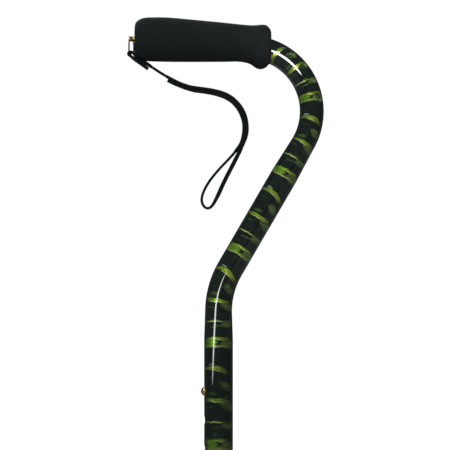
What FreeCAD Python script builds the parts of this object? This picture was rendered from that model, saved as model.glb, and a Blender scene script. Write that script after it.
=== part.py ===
import FreeCAD, Part
import math
import os

# Quad walking cane, millimetres, +Z up.
# Origin: centre of the four-foot base's footprint, on the floor.
# +X runs from the handle's free end towards the gooseneck bend; the shaft stands at X = 0.
# The shaft stands off-centre in Y, so the legs on the user's side (-Y) reach out less.

Vec = FreeCAD.Vector
X_AXIS = Vec(1, 0, 0)
Y_AXIS = Vec(0, 1, 0)
Z_AXIS = Vec(0, 0, 1)

# ---- Shaft and telescoping stem ----
SHAFT_Y = -16.0
TUBE_OD = 25.4
TUBE_WALL = 1.47
TUBE_END_Z = 228.0
STEM_OD = 22.2
STEM_WALL = 1.2
STEM_BOTTOM_Z = 90.0
STEM_TOP_Z = 432.0

# ---- Snap button and height holes ----
BUTTON_Z = 408.0
BUTTON_D = 7.6
HOLE_D = 8.0
HOLE_PITCH = 25.4
HOLE_COUNT = 7
BUTTON_REACH = 2.9
DOME_HEIGHT = 2.2
SPRING_WIDTH = 8.0
SPRING_THICK = 0.8
SPRING_ARM_X = 8.9
SPRING_BEND_R = 12.0
SPRING_TIP_R = 2.4
# Half of the spring's outline: distance from its middle plane and height from the button.
SPRING_FOLD = (2.6, -38.0)
SPRING_ELBOW_DROP = 10.0
SPRING_ARM_RISE = 9.0
RIVET_R = 1.5
RIVET_HEAD_R = 2.6
GUIDE_BORE_R = 5.0
STEM_PLUG_DEPTH = 12.0
STEM_PLUG_FLANGE = 2.0

# ---- Offset handle tube, flattened a little by bending ----
HANDLE_TILT = 4.0
DIAGONAL_LEAN = 30.23
UPPER_BEND_R = 56.4
UPPER_BEND_X = 25.7
UPPER_BEND_Z = 654.5
LOWER_BEND_R = 74.8
HANDLE_THICK = 21.1
DIAGONAL_THICK = 23.7
UPPER_TAPER_LENGTH = 33.0
LOWER_TAPER_LENGTH = 24.0
HANDLE_FREE_X = -66.0

# ---- Foam grip: (X, centre Z, radius) of its round cross-sections ----
GRIP_SECTIONS = [
    (-73.7, 717.6, 11.6),
    (-73.3, 717.6, 13.8),
    (-72.0, 717.6, 15.9),
    (-69.5, 717.6, 17.7),
    (-65.5, 717.5, 18.9),
    (-59.0, 717.4, 19.4),
    (-44.0, 717.1, 19.5),
    (-20.0, 716.0, 18.4),
    (4.0, 714.9, 17.2),
    (18.0, 714.3, 16.4),
    (27.0, 713.1, 17.0),
    (33.0, 711.4, 18.9),
    (37.5, 711.1, 19.6),
    (42.0, 711.6, 18.3),
    (45.2, 711.4, 15.8),
    (46.4, 711.0, 13.4),
]

# ---- Strap post, ring and webbing strap ----
POST_R = 2.2
POST_SCREW_R = 2.0
POST_END_X = -79.2
PLUG_LENGTH = 16.0
PLUG_FLANGE = 2.0
POST_SCREW_LENGTH = 15.0
POST_HOLE_FLARE = 0.44
RING_X = -76.7
RING_WIRE_R = 0.65
RING_PLAY = 0.1
RING_YAW = 20.0
RING_TOP_R = 5.7
RING_CORNER_R = 1.6
RING_HEIGHT = 12.7
STRAP_THICK = 2.4
STRAP_WIDTH = 7.6
STRAP_PLY_PITCH = 3.25
STRAP_TAIL_LENGTH = 20.5
STRAP_CLEARANCE = 0.4
STRAP_DENT_OVERRUN = 6.0
STRAP_EYE_INSET = 0.4
STRAP_EYE_PLAY = 0.3
STRAP_EYE_R = (STRAP_PLY_PITCH + STRAP_THICK) / 2

# The strap's centreline, (X, Z): from the ring, along the sewn double band,
# round the hanging loop and back up to where its end is sewn down.
STRAP_ROUTE = [
    (-75.8, 706.9),
    (-61.0, 694.9),
    (-44.3, 683.9),
    (-25.5, 676.6),
    (-6.5, 672.2),
    (8.8, 668.4),
    (18.6, 659.6),
    (24.2, 647.6),
    (24.9, 633.4),
    (20.4, 619.9),
    (13.0, 606.4),
    (5.1, 591.8),
    (-1.2, 577.6),
    (-6.2, 569.0),
    (-11.9, 569.9),
    (-15.0, 577.3),
    (-10.8, 589.0),
    (-1.0, 601.5),
    (10.9, 613.6),
    (18.8, 624.0),
    (21.6, 634.0),
    (21.0, 646.2),
    (16.0, 657.4),
    (7.2, 665.0),
    (-7.4, 668.8),
    (-26.5, 673.3),
    (-44.6, 680.2),
]

# ---- Locking collar on the lower end of the upper tube ----
COLLET_RING_LENGTH = 22.0
COLLET_FINGER_LENGTH = 14.0
COLLET_LIP = 2.0
COLLET_TAPER = 4.0
COLLET_TIP_WALL = 1.2
COLLET_ROOT_WALL = 2.2
COLLET_FLANGE = 1.6
COLLET_FLANGE_HEIGHT = 2.0
COLLET_THREAD_R = 15.2
COLLET_BORE_R = 11.25
COLLET_SLOT = 1.5
COLLAR_R = 17.5
COLLAR_LENGTH = 37.0
COLLAR_DROP = 18.0
COLLAR_FLUTES = 18
COLLAR_FLUTE_R = 1.3
COLLAR_FLUTE_OFFSET = 0.585
COLLAR_FLUTE_MARGIN = 4.0
COLLAR_CHAMFER = (2.0, 3.0)
COLLAR_TOP_CHAMFER = 1.0
COLLAR_GAP = 0.15
COLLAR_MOUTH_PLAY = 0.35

# ---- Quad base ----
FOOT_X = 85.5
FOOT_Y = 60.0
LEG_OD = 15.9
LEG_WALL = 1.5
KNEE_Z = 70.0
KNEE_R = 38.0
SHOULDER_R = 26.0
SHOULDER_REACH = 46.0
HUB_Z = 102.0
SOCKET_R = 14.3
SOCKET_BORE_R = 11.2
SOCKET_BOTTOM_Z = 88.0
SOCKET_TOP_Z = 150.0
PLATE_THICK = 3.0
PLATE_X = 34.0
PLATE_Y = 19.0
PLATE_CORNER_R = 8.0
BOLT_Z = 134.0
BOLT_R = 3.0
BOLT_HOLE_R = 3.3
HEX_FLATS = 10.0
BOLT_HEAD = 4.0
BOLT_OVERHANG = 1.5
NUT_HEIGHT = 6.0
WASHER_R = 6.2
WASHER_THICK = 1.6
TIP_R = 16.5
TIP_HEIGHT = 40.0
TIP_FLOOR = 8.0


# ---- Handle centreline, worked out from the bends ----
def direction(degrees_below_x):
    """Unit vector in the XZ plane, turned down from +X."""
    angle = math.radians(degrees_below_x)
    return Vec(math.cos(angle), 0, -math.sin(angle))


HANDLE_DIR = direction(HANDLE_TILT)
DIAGONAL_DIR = direction(90 + DIAGONAL_LEAN)
UPPER_CENTRE = Vec(UPPER_BEND_X, SHAFT_Y, UPPER_BEND_Z)
BEND_START = UPPER_CENTRE + direction(HANDLE_TILT - 90) * UPPER_BEND_R
BEND_END = UPPER_CENTRE + direction(DIAGONAL_LEAN) * UPPER_BEND_R
DIAGONAL_LENGTH = BEND_END.x / math.sin(math.radians(DIAGONAL_LEAN))
CORNER = BEND_END + DIAGONAL_DIR * DIAGONAL_LENGTH
LOWER_TANGENT = LOWER_BEND_R * math.tan(math.radians(DIAGONAL_LEAN / 2))
LOWER_START = CORNER - DIAGONAL_DIR * LOWER_TANGENT
LOWER_END = CORNER - Z_AXIS * LOWER_TANGENT
LOWER_CENTRE = LOWER_END + X_AXIS * LOWER_BEND_R
HANDLE_FREE = BEND_START + HANDLE_DIR * ((HANDLE_FREE_X - BEND_START.x) / HANDLE_DIR.x)
POST_AXIS = HANDLE_DIR * -1
RING_TOP = HANDLE_FREE + POST_AXIS * ((HANDLE_FREE.x - RING_X) / HANDLE_DIR.x)
RING_SIDE = Vec(math.sin(math.radians(RING_YAW)), math.cos(math.radians(RING_YAW)), 0)
RING_BAR = RING_TOP - Z_AXIS * RING_HEIGHT


# ---- Shared shapes ----
def shaft_cylinder(radius, low, high):
    """Upright cylinder on the shaft's axis."""
    return Part.makeCylinder(radius, high - low, Vec(0, SHAFT_Y, low))


def shaft_ring(outer, inner, low, high):
    """Upright ring on the shaft's axis."""
    return shaft_cylinder(outer, low, high).cut(shaft_cylinder(inner, low, high))


def revolve_profile(points, centre):
    """Solid of revolution about an upright axis, from (radius, height) points."""
    corners = [Vec(centre.x + r, centre.y, centre.z + z) for r, z in points]
    face = Part.Face(Part.makePolygon(corners + corners[:1]))
    return face.revolve(centre, Z_AXIS, 360)


def oval_wire(centre, along, half_thick, half_wide):
    """Ellipse across a direction in the XZ plane: half_wide in Y, half_thick in the plane."""
    across = along.cross(Y_AXIS)
    curve = Part.Ellipse(centre + Y_AXIS * half_wide, centre + across * half_thick, centre)
    return Part.Wire(curve.toShape())


def rounded_path(points, radii):
    """Straight runs joined by tangent arcs, one radius for each inner point."""
    edges = []
    start = points[0]
    for before, corner, after, radius in zip(points, points[1:], points[2:], radii):
        back = (before - corner).normalize()
        ahead = (after - corner).normalize()
        half_turn = (math.pi - back.getAngle(ahead)) / 2
        cut = radius * math.tan(half_turn)
        middle = (back + ahead).normalize()
        bulge = radius / math.cos(half_turn) - radius
        arc_start = corner + back * cut
        arc_end = corner + ahead * cut
        edges.append(Part.LineSegment(start, arc_start).toShape())
        edges.append(Part.Arc(arc_start, corner + middle * bulge, arc_end).toShape())
        start = arc_end
    edges.append(Part.LineSegment(start, points[-1]).toShape())
    return Part.Wire(edges)


def natural_radii(points):
    """For each inner point, the arc that uses 0.45 of the shorter run beside it."""
    radii = []
    for before, corner, after in zip(points, points[1:], points[2:]):
        half_turn = (math.pi - (before - corner).getAngle(after - corner)) / 2
        shorter = min((before - corner).Length, (after - corner).Length)
        radii.append(0.45 * shorter / math.tan(half_turn))
    return radii


def sweep(path, profile, binormal=None):
    """Solid made by carrying a closed profile along a path."""
    pipe = Part.BRepOffsetAPI.MakePipeShell(path)
    if binormal is not None:
        pipe.setBiNormalMode(binormal)
    pipe.add(profile)
    pipe.build()
    pipe.makeSolid()
    return pipe.shape()


def round_sweep(path, start, along, radius):
    """Round bar or tube body along a path."""
    return sweep(path, Part.Wire(Part.Circle(start, along, radius).toShape()))


def band_sweep(points, radii, thick, width):
    """Flat band whose centreline lies in an XZ plane; its width runs along Y."""
    along = (points[1] - points[0]).normalize()
    across = along.cross(Y_AXIS) * (thick / 2)
    side = Y_AXIS * (width / 2)
    first = points[0]
    corners = [first + across + side, first - across + side, first - across - side, first + across - side]
    profile = Part.makePolygon(corners + corners[:1])
    return sweep(rounded_path(points, radii), profile, Y_AXIS)


def hexagon(centre_y, height):
    """Hexagonal prism along Y at the socket bolt."""
    corner_r = HEX_FLATS / math.sqrt(3)
    corners = []
    for index in range(6):
        angle = math.radians(60 * index)
        corners.append(Vec(corner_r * math.cos(angle), centre_y, BOLT_Z + corner_r * math.sin(angle)))
    return Part.Face(Part.makePolygon(corners + corners[:1])).extrude(Y_AXIS * height)


# ---- Upper section ----
def handle_body(inset):
    """The whole upper tube's outline, drawn in by inset; inset 0 gives the outside."""
    wide = TUBE_OD / 2 - inset
    thin = HANDLE_THICK / 2 - inset
    middle = DIAGONAL_THICK / 2 - inset
    overrun = inset
    grip_start = HANDLE_FREE - HANDLE_DIR * overrun
    taper_end = BEND_END + DIAGONAL_DIR * UPPER_TAPER_LENGTH
    round_start = LOWER_END - Z_AXIS * LOWER_TAPER_LENGTH
    grip_face = Part.Face(oval_wire(grip_start, HANDLE_DIR, thin, wide))
    bend_face = Part.Face(oval_wire(BEND_START, HANDLE_DIR, thin, wide))
    diagonal_face = Part.Face(oval_wire(taper_end, DIAGONAL_DIR, middle, wide))
    lower_face = Part.Face(oval_wire(LOWER_START, DIAGONAL_DIR, middle, wide))
    upper_taper = [
        oval_wire(BEND_END, DIAGONAL_DIR, thin, wide),
        oval_wire(taper_end, DIAGONAL_DIR, middle, wide),
    ]
    lower_taper = [
        oval_wire(LOWER_END, Z_AXIS * -1, middle, wide),
        oval_wire(round_start, Z_AXIS * -1, wide, wide),
    ]
    pieces = [
        grip_face.extrude(BEND_START - grip_start),
        bend_face.revolve(UPPER_CENTRE, Y_AXIS, 90 + DIAGONAL_LEAN - HANDLE_TILT),
        Part.makeLoft(upper_taper, True, True),
        diagonal_face.extrude(LOWER_START - taper_end),
        lower_face.revolve(LOWER_CENTRE, Y_AXIS, -DIAGONAL_LEAN),
        Part.makeLoft(lower_taper, True, True),
        shaft_cylinder(wide, TUBE_END_Z - overrun, round_start.z),
    ]
    return pieces[0].multiFuse(pieces[1:])


def make_upper_tube(outside):
    tube = outside.cut(handle_body(TUBE_WALL))
    holes = []
    for index in range(HOLE_COUNT):
        height = BUTTON_Z - index * HOLE_PITCH
        holes.append(Part.makeCylinder(HOLE_D / 2, TUBE_OD / 2 + 1, Vec(0, SHAFT_Y, height), X_AXIS * -1))
    return tube.cut(holes)


def post_screw():
    """The post's threaded end, inside the plug."""
    return Part.makeCylinder(POST_SCREW_R, POST_SCREW_LENGTH, HANDLE_FREE + POST_AXIS * PLUG_FLANGE, HANDLE_DIR)


def make_end_plug():
    flange_face = Part.Face(oval_wire(HANDLE_FREE, HANDLE_DIR, HANDLE_THICK / 2, TUBE_OD / 2))
    spigot_wire = oval_wire(HANDLE_FREE, HANDLE_DIR, HANDLE_THICK / 2 - TUBE_WALL, TUBE_OD / 2 - TUBE_WALL)
    flange = flange_face.extrude(POST_AXIS * PLUG_FLANGE)
    spigot = Part.Face(spigot_wire).extrude(HANDLE_DIR * PLUG_LENGTH)
    return flange.fuse(spigot).removeSplitter().cut(post_screw())


def post_neck(radius):
    """The post's plain end, from the plug's face outwards."""
    length = (HANDLE_FREE.x - POST_END_X) / HANDLE_DIR.x - PLUG_FLANGE
    return Part.makeCylinder(radius, length, HANDLE_FREE + POST_AXIS * PLUG_FLANGE, POST_AXIS)


def make_strap_post():
    """Brass stud with a cross hole flared from both sides, so the ring can hang at a slant."""
    waist = RING_WIRE_R + RING_PLAY
    mouth = waist + POST_HOLE_FLARE * POST_R
    near = Part.makeCone(waist, mouth, POST_R, RING_TOP, Y_AXIS * -1)
    far = Part.makeCone(waist, mouth, POST_R, RING_TOP, Y_AXIS)
    return post_neck(POST_R).fuse(post_screw()).cut([near, far])


def make_strap_ring():
    """D-shaped wire ring, round at the top and straight where the strap hangs."""
    half = RING_TOP_R
    knee = RING_CORNER_R * (1 - math.sqrt(0.5))

    def at(side, drop):
        return RING_TOP + RING_SIDE * side - Z_AXIS * drop

    low = RING_HEIGHT
    start = at(-half, RING_TOP_R)
    edges = [
        Part.Arc(start, at(0, 0), at(half, RING_TOP_R)),
        Part.LineSegment(at(half, RING_TOP_R), at(half, low - RING_CORNER_R)),
        Part.Arc(at(half, low - RING_CORNER_R), at(half - knee, low - knee), at(half - RING_CORNER_R, low)),
        Part.LineSegment(at(half - RING_CORNER_R, low), at(RING_CORNER_R - half, low)),
        Part.Arc(at(RING_CORNER_R - half, low), at(knee - half, low - knee), at(-half, low - RING_CORNER_R)),
        Part.LineSegment(at(-half, low - RING_CORNER_R), start),
    ]
    path = Part.Wire([edge.toShape() for edge in edges])
    return round_sweep(path, start, Z_AXIS, RING_WIRE_R)


def strap_points():
    return [Vec(x, SHAFT_Y, z) for x, z in STRAP_ROUTE]


def first_run_frame():
    """Directions along the strap's first run and square to it, away from its tail."""
    points = strap_points()
    along = (points[1] - points[0]).normalize()
    return along, along.cross(Y_AXIS)


def strap_eye(radius, length):
    """Short cylinder along the ring's straight bar."""
    return Part.makeCylinder(radius, length, RING_BAR - RING_SIDE * (length / 2), RING_SIDE)


def make_wrist_strap():
    """Webbing band, folded round the ring's bar with its tail lying under the band."""
    points = strap_points()
    radii = natural_radii(points)
    band = band_sweep(points, radii, STRAP_THICK, STRAP_WIDTH)
    length = rounded_path(points, radii).Length
    print("strap radii", [round(radius, 1) for radius in radii])
    print("strap length", round(length, 1))
    print("strap volume over section x length", round(band.Volume / (length * STRAP_THICK * STRAP_WIDTH), 4))
    along, up = first_run_frame()
    tail = Part.makeBox(STRAP_TAIL_LENGTH, STRAP_WIDTH, STRAP_THICK)
    corner = points[0] - Y_AXIS * (STRAP_WIDTH / 2) - up * (STRAP_PLY_PITCH + STRAP_THICK / 2)
    tail.Placement = FreeCAD.Placement(corner, FreeCAD.Rotation(along, Y_AXIS, up, "XYZ"))
    eye = strap_eye(STRAP_EYE_R, STRAP_WIDTH - STRAP_EYE_INSET)
    bore = strap_eye(RING_WIRE_R + STRAP_EYE_PLAY, STRAP_WIDTH * 1.5)
    return band.fuse([tail, eye]).cut(bore)


def strap_dent():
    """Room in the foam's lower rim for the strap's sewn end, which presses into it."""
    points = strap_points()
    along, up = first_run_frame()
    low_corner = points[0] - along * STRAP_DENT_OVERRUN - Y_AXIS * (STRAP_WIDTH / 2 + STRAP_CLEARANCE)
    low_corner = low_corner - up * (STRAP_PLY_PITCH + STRAP_THICK)
    height = STRAP_PLY_PITCH + STRAP_THICK * 1.5 + STRAP_CLEARANCE
    length = (points[1] - points[0]).Length + 2 * STRAP_DENT_OVERRUN
    block = Part.makeBox(length, STRAP_WIDTH + 2 * STRAP_CLEARANCE, height)
    block.Placement = FreeCAD.Placement(low_corner, FreeCAD.Rotation(along, Y_AXIS, up, "XYZ"))
    eye_room = strap_eye(STRAP_EYE_R + STRAP_CLEARANCE, STRAP_WIDTH + 2 * STRAP_CLEARANCE)
    return block.fuse(eye_room)


def make_foam_grip(tube_outside):
    circles = []
    for x, z, radius in GRIP_SECTIONS:
        circles.append(Part.Wire(Part.Circle(Vec(x, SHAFT_Y, z), X_AXIS, radius).toShape()))
    body = Part.makeLoft(circles, True, False)
    flange_face = Part.Face(oval_wire(HANDLE_FREE, HANDLE_DIR, HANDLE_THICK / 2, TUBE_OD / 2))
    flange = flange_face.extrude(POST_AXIS * PLUG_FLANGE)
    return body.cut([tube_outside, flange, post_neck(POST_R), strap_dent()])


def make_collet_sleeve():
    """Threaded plastic sleeve on the tube's end, with split fingers round the stem."""
    outer = [
        (COLLET_BORE_R, -COLLET_FINGER_LENGTH),
        (COLLET_BORE_R + COLLET_TIP_WALL, -COLLET_FINGER_LENGTH),
        (COLLET_BORE_R + COLLET_ROOT_WALL, -COLLET_LIP - COLLET_TAPER),
        (COLLET_THREAD_R, -COLLET_LIP),
        (COLLET_THREAD_R, COLLET_RING_LENGTH - COLLET_FLANGE_HEIGHT),
        (COLLET_THREAD_R + COLLET_FLANGE, COLLET_RING_LENGTH - COLLET_FLANGE_HEIGHT),
        (COLLET_THREAD_R + COLLET_FLANGE, COLLET_RING_LENGTH),
        (TUBE_OD / 2, COLLET_RING_LENGTH),
        (TUBE_OD / 2, 0),
        (COLLET_BORE_R, 0),
    ]
    sleeve = revolve_profile(outer, Vec(0, SHAFT_Y, TUBE_END_Z))
    slots = []
    for turn in (0, 90):
        slot = Part.makeBox(40, COLLET_SLOT, COLLET_FINGER_LENGTH - COLLET_LIP)
        slot.translate(Vec(-20, -COLLET_SLOT / 2, 0))
        slot.rotate(Vec(0, 0, 0), Z_AXIS, turn + 45)
        slot.translate(Vec(0, SHAFT_Y, TUBE_END_Z - COLLET_FINGER_LENGTH))
        slots.append(slot)
    return sleeve.cut(slots)


def make_lock_collar():
    """Fluted nut that squeezes the collet's fingers."""
    gap = COLLAR_GAP
    mouth = COLLET_BORE_R + COLLAR_MOUTH_PLAY
    inset, rise = COLLAR_CHAMFER
    top = COLLAR_LENGTH - COLLAR_DROP
    profile = [
        (mouth, -COLLAR_DROP),
        (COLLAR_R - inset, -COLLAR_DROP),
        (COLLAR_R, -COLLAR_DROP + rise),
        (COLLAR_R, top - COLLAR_TOP_CHAMFER),
        (COLLAR_R - COLLAR_TOP_CHAMFER, top),
        (COLLET_THREAD_R + gap, top),
        (COLLET_THREAD_R + gap, -COLLET_LIP),
        (COLLET_BORE_R + COLLET_ROOT_WALL + gap, -COLLET_LIP - COLLET_TAPER),
        (COLLET_BORE_R + COLLET_TIP_WALL + gap, -COLLET_FINGER_LENGTH - gap),
        (mouth, -COLLET_FINGER_LENGTH - gap),
    ]
    collar = revolve_profile(profile, Vec(0, SHAFT_Y, TUBE_END_Z))
    flutes = []
    reach = COLLAR_R + COLLAR_FLUTE_OFFSET
    low = TUBE_END_Z - COLLAR_DROP + COLLAR_FLUTE_MARGIN
    high = TUBE_END_Z + top + 1
    for index in range(COLLAR_FLUTES):
        angle = 2 * math.pi * index / COLLAR_FLUTES
        foot = Vec(reach * math.cos(angle), SHAFT_Y + reach * math.sin(angle), low)
        flutes.append(Part.makeCylinder(COLLAR_FLUTE_R, high - low, foot))
    return collar.cut(flutes)


# ---- Stem, snap button and their fittings ----
def make_stem_tube():
    stem = shaft_ring(STEM_OD / 2, STEM_OD / 2 - STEM_WALL, STEM_BOTTOM_Z, STEM_TOP_Z)
    button_hole = Part.makeCylinder(HOLE_D / 2, STEM_OD / 2 + 1, Vec(0, SHAFT_Y, BUTTON_Z), X_AXIS * -1)
    return stem.cut([button_hole, bolt_bore()])


def bolt_bore():
    """Through hole for the socket bolt, along Y."""
    return Part.makeCylinder(BOLT_HOLE_R, 4 * SOCKET_R, Vec(0, SHAFT_Y - 2 * SOCKET_R, BOLT_Z), Y_AXIS)


def make_stem_top_guide():
    low = STEM_TOP_Z - STEM_PLUG_DEPTH
    top = STEM_TOP_Z + STEM_PLUG_FLANGE
    flange = shaft_cylinder(STEM_OD / 2, STEM_TOP_Z, top)
    spigot = shaft_cylinder(STEM_OD / 2 - STEM_WALL, low, STEM_TOP_Z)
    return flange.fuse(spigot).cut(shaft_cylinder(GUIDE_BORE_R, low, top))


def make_stem_end_plug():
    flange = shaft_cylinder(STEM_OD / 2, STEM_BOTTOM_Z - STEM_PLUG_FLANGE, STEM_BOTTOM_Z)
    spigot = shaft_cylinder(STEM_OD / 2 - STEM_WALL, STEM_BOTTOM_Z, STEM_BOTTOM_Z + STEM_PLUG_DEPTH)
    return flange.fuse(spigot).removeSplitter()


def make_snap_spring():
    """V-shaped strip spring: both arms press on the stem's wall, one carries the button."""
    arm_x = SPRING_ARM_X - SPRING_THICK / 2
    half = [(arm_x, SPRING_ARM_RISE), (arm_x, -SPRING_ELBOW_DROP), SPRING_FOLD]
    outline = [(-x, z) for x, z in half] + half[::-1]
    points = [Vec(x, SHAFT_Y, BUTTON_Z + z) for x, z in outline]
    radii = [SPRING_BEND_R, SPRING_TIP_R, SPRING_TIP_R, SPRING_BEND_R]
    strip = band_sweep(points, radii, SPRING_THICK, SPRING_WIDTH)
    rivet_hole = Part.makeCylinder(RIVET_R, SPRING_ARM_X, Vec(0, SHAFT_Y, BUTTON_Z), X_AXIS * -1)
    return strip.cut(rivet_hole)


def make_snap_button():
    def along_x(radius, start, end):
        return Part.makeCylinder(radius, end - start, Vec(-start, SHAFT_Y, BUTTON_Z), X_AXIS * -1)

    tip = TUBE_OD / 2 + BUTTON_REACH
    half = BUTTON_D / 2
    dome_r = (half ** 2 + DOME_HEIGHT ** 2) / (2 * DOME_HEIGHT)
    dome = Part.makeSphere(dome_r, Vec(dome_r - tip, SHAFT_Y, BUTTON_Z))
    shank = along_x(half, SPRING_ARM_X, tip - DOME_HEIGHT)
    cap = along_x(half, tip - DOME_HEIGHT, tip).common(dome)
    rivet = along_x(RIVET_R, SPRING_ARM_X - SPRING_THICK, SPRING_ARM_X)
    rivet_head = along_x(RIVET_HEAD_R, SPRING_ARM_X - 2 * SPRING_THICK, SPRING_ARM_X - SPRING_THICK)
    return shank.fuse([cap, rivet, rivet_head])


# ---- Quad base ----
def leg_points(side):
    near = SHAFT_Y - SHOULDER_REACH
    far = SHAFT_Y + SHOULDER_REACH
    hub_x = side * (SOCKET_R + LEG_OD / 2)
    foot_x = side * FOOT_X
    end_z = TIP_FLOOR + WASHER_THICK
    return [
        Vec(foot_x, -FOOT_Y, end_z),
        Vec(foot_x, -FOOT_Y, KNEE_Z),
        Vec(hub_x, near, HUB_Z),
        Vec(hub_x, far, HUB_Z),
        Vec(foot_x, FOOT_Y, KNEE_Z),
        Vec(foot_x, FOOT_Y, end_z),
    ]


def make_leg_tube(side):
    """One bent tube that makes two legs and passes beside the socket."""
    points = leg_points(side)
    path = rounded_path(points, [KNEE_R, SHOULDER_R, SHOULDER_R, KNEE_R])
    outside = round_sweep(path, points[0], Z_AXIS, LEG_OD / 2)
    return outside.cut(round_sweep(path, points[0], Z_AXIS, LEG_OD / 2 - LEG_WALL))


def make_hub_plate(bottom):
    """Stamped plate with rounded corners that ties both leg tubes to the socket."""
    plate = Part.makeBox(2 * PLATE_X, 2 * PLATE_Y, PLATE_THICK, Vec(-PLATE_X, SHAFT_Y - PLATE_Y, bottom))
    upright = [edge for edge in plate.Edges if abs(edge.Length - PLATE_THICK) < 0.01]
    return plate.makeFillet(PLATE_CORNER_R, upright).cut(shaft_cylinder(SOCKET_R, bottom, bottom + PLATE_THICK))


def make_socket_bolt():
    face_y = SHAFT_Y - SOCKET_R - WASHER_THICK
    length = 2 * (SOCKET_R + WASHER_THICK) + NUT_HEIGHT + BOLT_OVERHANG
    shank = Part.makeCylinder(BOLT_R, length, Vec(0, face_y, BOLT_Z), Y_AXIS)
    return hexagon(face_y - BOLT_HEAD, BOLT_HEAD).fuse(shank)


def make_socket_nut():
    start = SHAFT_Y + SOCKET_R + WASHER_THICK
    bore = Part.makeCylinder(BOLT_R, NUT_HEIGHT, Vec(0, start, BOLT_Z), Y_AXIS)
    return hexagon(start, NUT_HEIGHT).cut(bore)


def make_socket_washers():
    washers = []
    for start in (SHAFT_Y - SOCKET_R - WASHER_THICK, SHAFT_Y + SOCKET_R):
        disc = Part.makeCylinder(WASHER_R, WASHER_THICK, Vec(0, start, BOLT_Z), Y_AXIS)
        bore = Part.makeCylinder(BOLT_R + 0.2, WASHER_THICK, Vec(0, start, BOLT_Z), Y_AXIS)
        washers.append(disc.cut(bore))
    return Part.makeCompound(washers)


def foot_centres():
    return {
        "front_near": Vec(FOOT_X, -FOOT_Y, 0),
        "front_far": Vec(FOOT_X, FOOT_Y, 0),
        "rear_near": Vec(-FOOT_X, -FOOT_Y, 0),
        "rear_far": Vec(-FOOT_X, FOOT_Y, 0),
    }


def make_tip(centre):
    """Rubber ferrule: wide ringed sole, waist and a sleeve for the leg tube."""
    bore = LEG_OD / 2
    profile = [
        (0, 1.2),
        (8.5, 1.2),
        (8.5, 0),
        (TIP_R - 1.5, 0),
        (TIP_R, 1.5),
        (TIP_R, 6.0),
        (TIP_R - 1.0, 8.0),
        (12.4, 17.0),
        (11.4, 21.0),
        (11.2, TIP_HEIGHT - 4),
        (12.0, TIP_HEIGHT - 4),
        (12.0, TIP_HEIGHT - 1),
        (11.2, TIP_HEIGHT),
        (bore, TIP_HEIGHT),
        (bore, TIP_FLOOR),
        (0, TIP_FLOOR),
    ]
    return revolve_profile(profile, centre)


def make_tip_washers():
    washers = []
    for centre in foot_centres().values():
        disc = Part.makeCylinder(LEG_OD / 2 - 0.1, WASHER_THICK, centre + Z_AXIS * TIP_FLOOR)
        hole = Part.makeCylinder(2, WASHER_THICK, centre + Z_AXIS * TIP_FLOOR)
        washers.append(disc.cut(hole))
    return Part.makeCompound(washers)


def build():
    outside = handle_body(0)
    parts = {
        "upper_tube": make_upper_tube(outside),
        "foam_grip": make_foam_grip(outside),
        "handle_end_plug": make_end_plug(),
        "strap_post": make_strap_post(),
        "strap_ring": make_strap_ring(),
        "wrist_strap": make_wrist_strap(),
        "collet_sleeve": make_collet_sleeve(),
        "lock_collar": make_lock_collar(),
        "stem_tube": make_stem_tube(),
        "stem_top_guide": make_stem_top_guide(),
        "stem_end_plug": make_stem_end_plug(),
        "snap_spring": make_snap_spring(),
        "snap_button": make_snap_button(),
        "base_socket": shaft_ring(SOCKET_R, SOCKET_BORE_R, SOCKET_BOTTOM_Z, SOCKET_TOP_Z).cut(bolt_bore()),
        "hub_plate_upper": make_hub_plate(HUB_Z + LEG_OD / 2),
        "hub_plate_lower": make_hub_plate(HUB_Z - LEG_OD / 2 - PLATE_THICK),
        "leg_tube_front": make_leg_tube(1),
        "leg_tube_rear": make_leg_tube(-1),
        "socket_bolt": make_socket_bolt(),
        "socket_nut": make_socket_nut(),
        "socket_washers": make_socket_washers(),
        "tip_washers": make_tip_washers(),
    }
    for name, centre in foot_centres().items():
        parts["rubber_tip_" + name] = make_tip(centre)
    return parts


os.makedirs("parts", exist_ok=True)
for node, shape in build().items():
    shape.exportStep("parts/" + node + ".step")
    print(node, "valid", shape.isValid(), "solids", len(shape.Solids), "volume", round(shape.Volume, 1))
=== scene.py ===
import bmesh
import bpy
import math
import numpy as np
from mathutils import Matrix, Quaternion, Vector


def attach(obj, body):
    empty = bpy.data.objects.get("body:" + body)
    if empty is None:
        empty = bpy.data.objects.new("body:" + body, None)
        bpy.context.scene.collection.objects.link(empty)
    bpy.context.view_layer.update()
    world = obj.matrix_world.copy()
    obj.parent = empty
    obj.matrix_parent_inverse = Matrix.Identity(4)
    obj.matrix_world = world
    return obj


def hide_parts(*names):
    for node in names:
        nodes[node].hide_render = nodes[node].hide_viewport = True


# Quad walking cane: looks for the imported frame. Metres, +Z up, the shaft stands along +Z.
# Lengths below are written in millimetres times MM.

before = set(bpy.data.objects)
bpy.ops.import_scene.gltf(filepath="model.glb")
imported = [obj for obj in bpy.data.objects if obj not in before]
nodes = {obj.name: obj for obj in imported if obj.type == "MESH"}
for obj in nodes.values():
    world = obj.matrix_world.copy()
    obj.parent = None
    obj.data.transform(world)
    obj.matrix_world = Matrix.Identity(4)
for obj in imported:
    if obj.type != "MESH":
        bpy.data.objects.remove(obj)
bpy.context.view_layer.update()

MM = 0.001
FULL_TURN = 2 * math.pi
X_AXIS = np.array((1.0, 0, 0))
Y_AXIS = np.array((0, 1.0, 0))
Z_AXIS = np.array((0, 0, 1.0))

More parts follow.
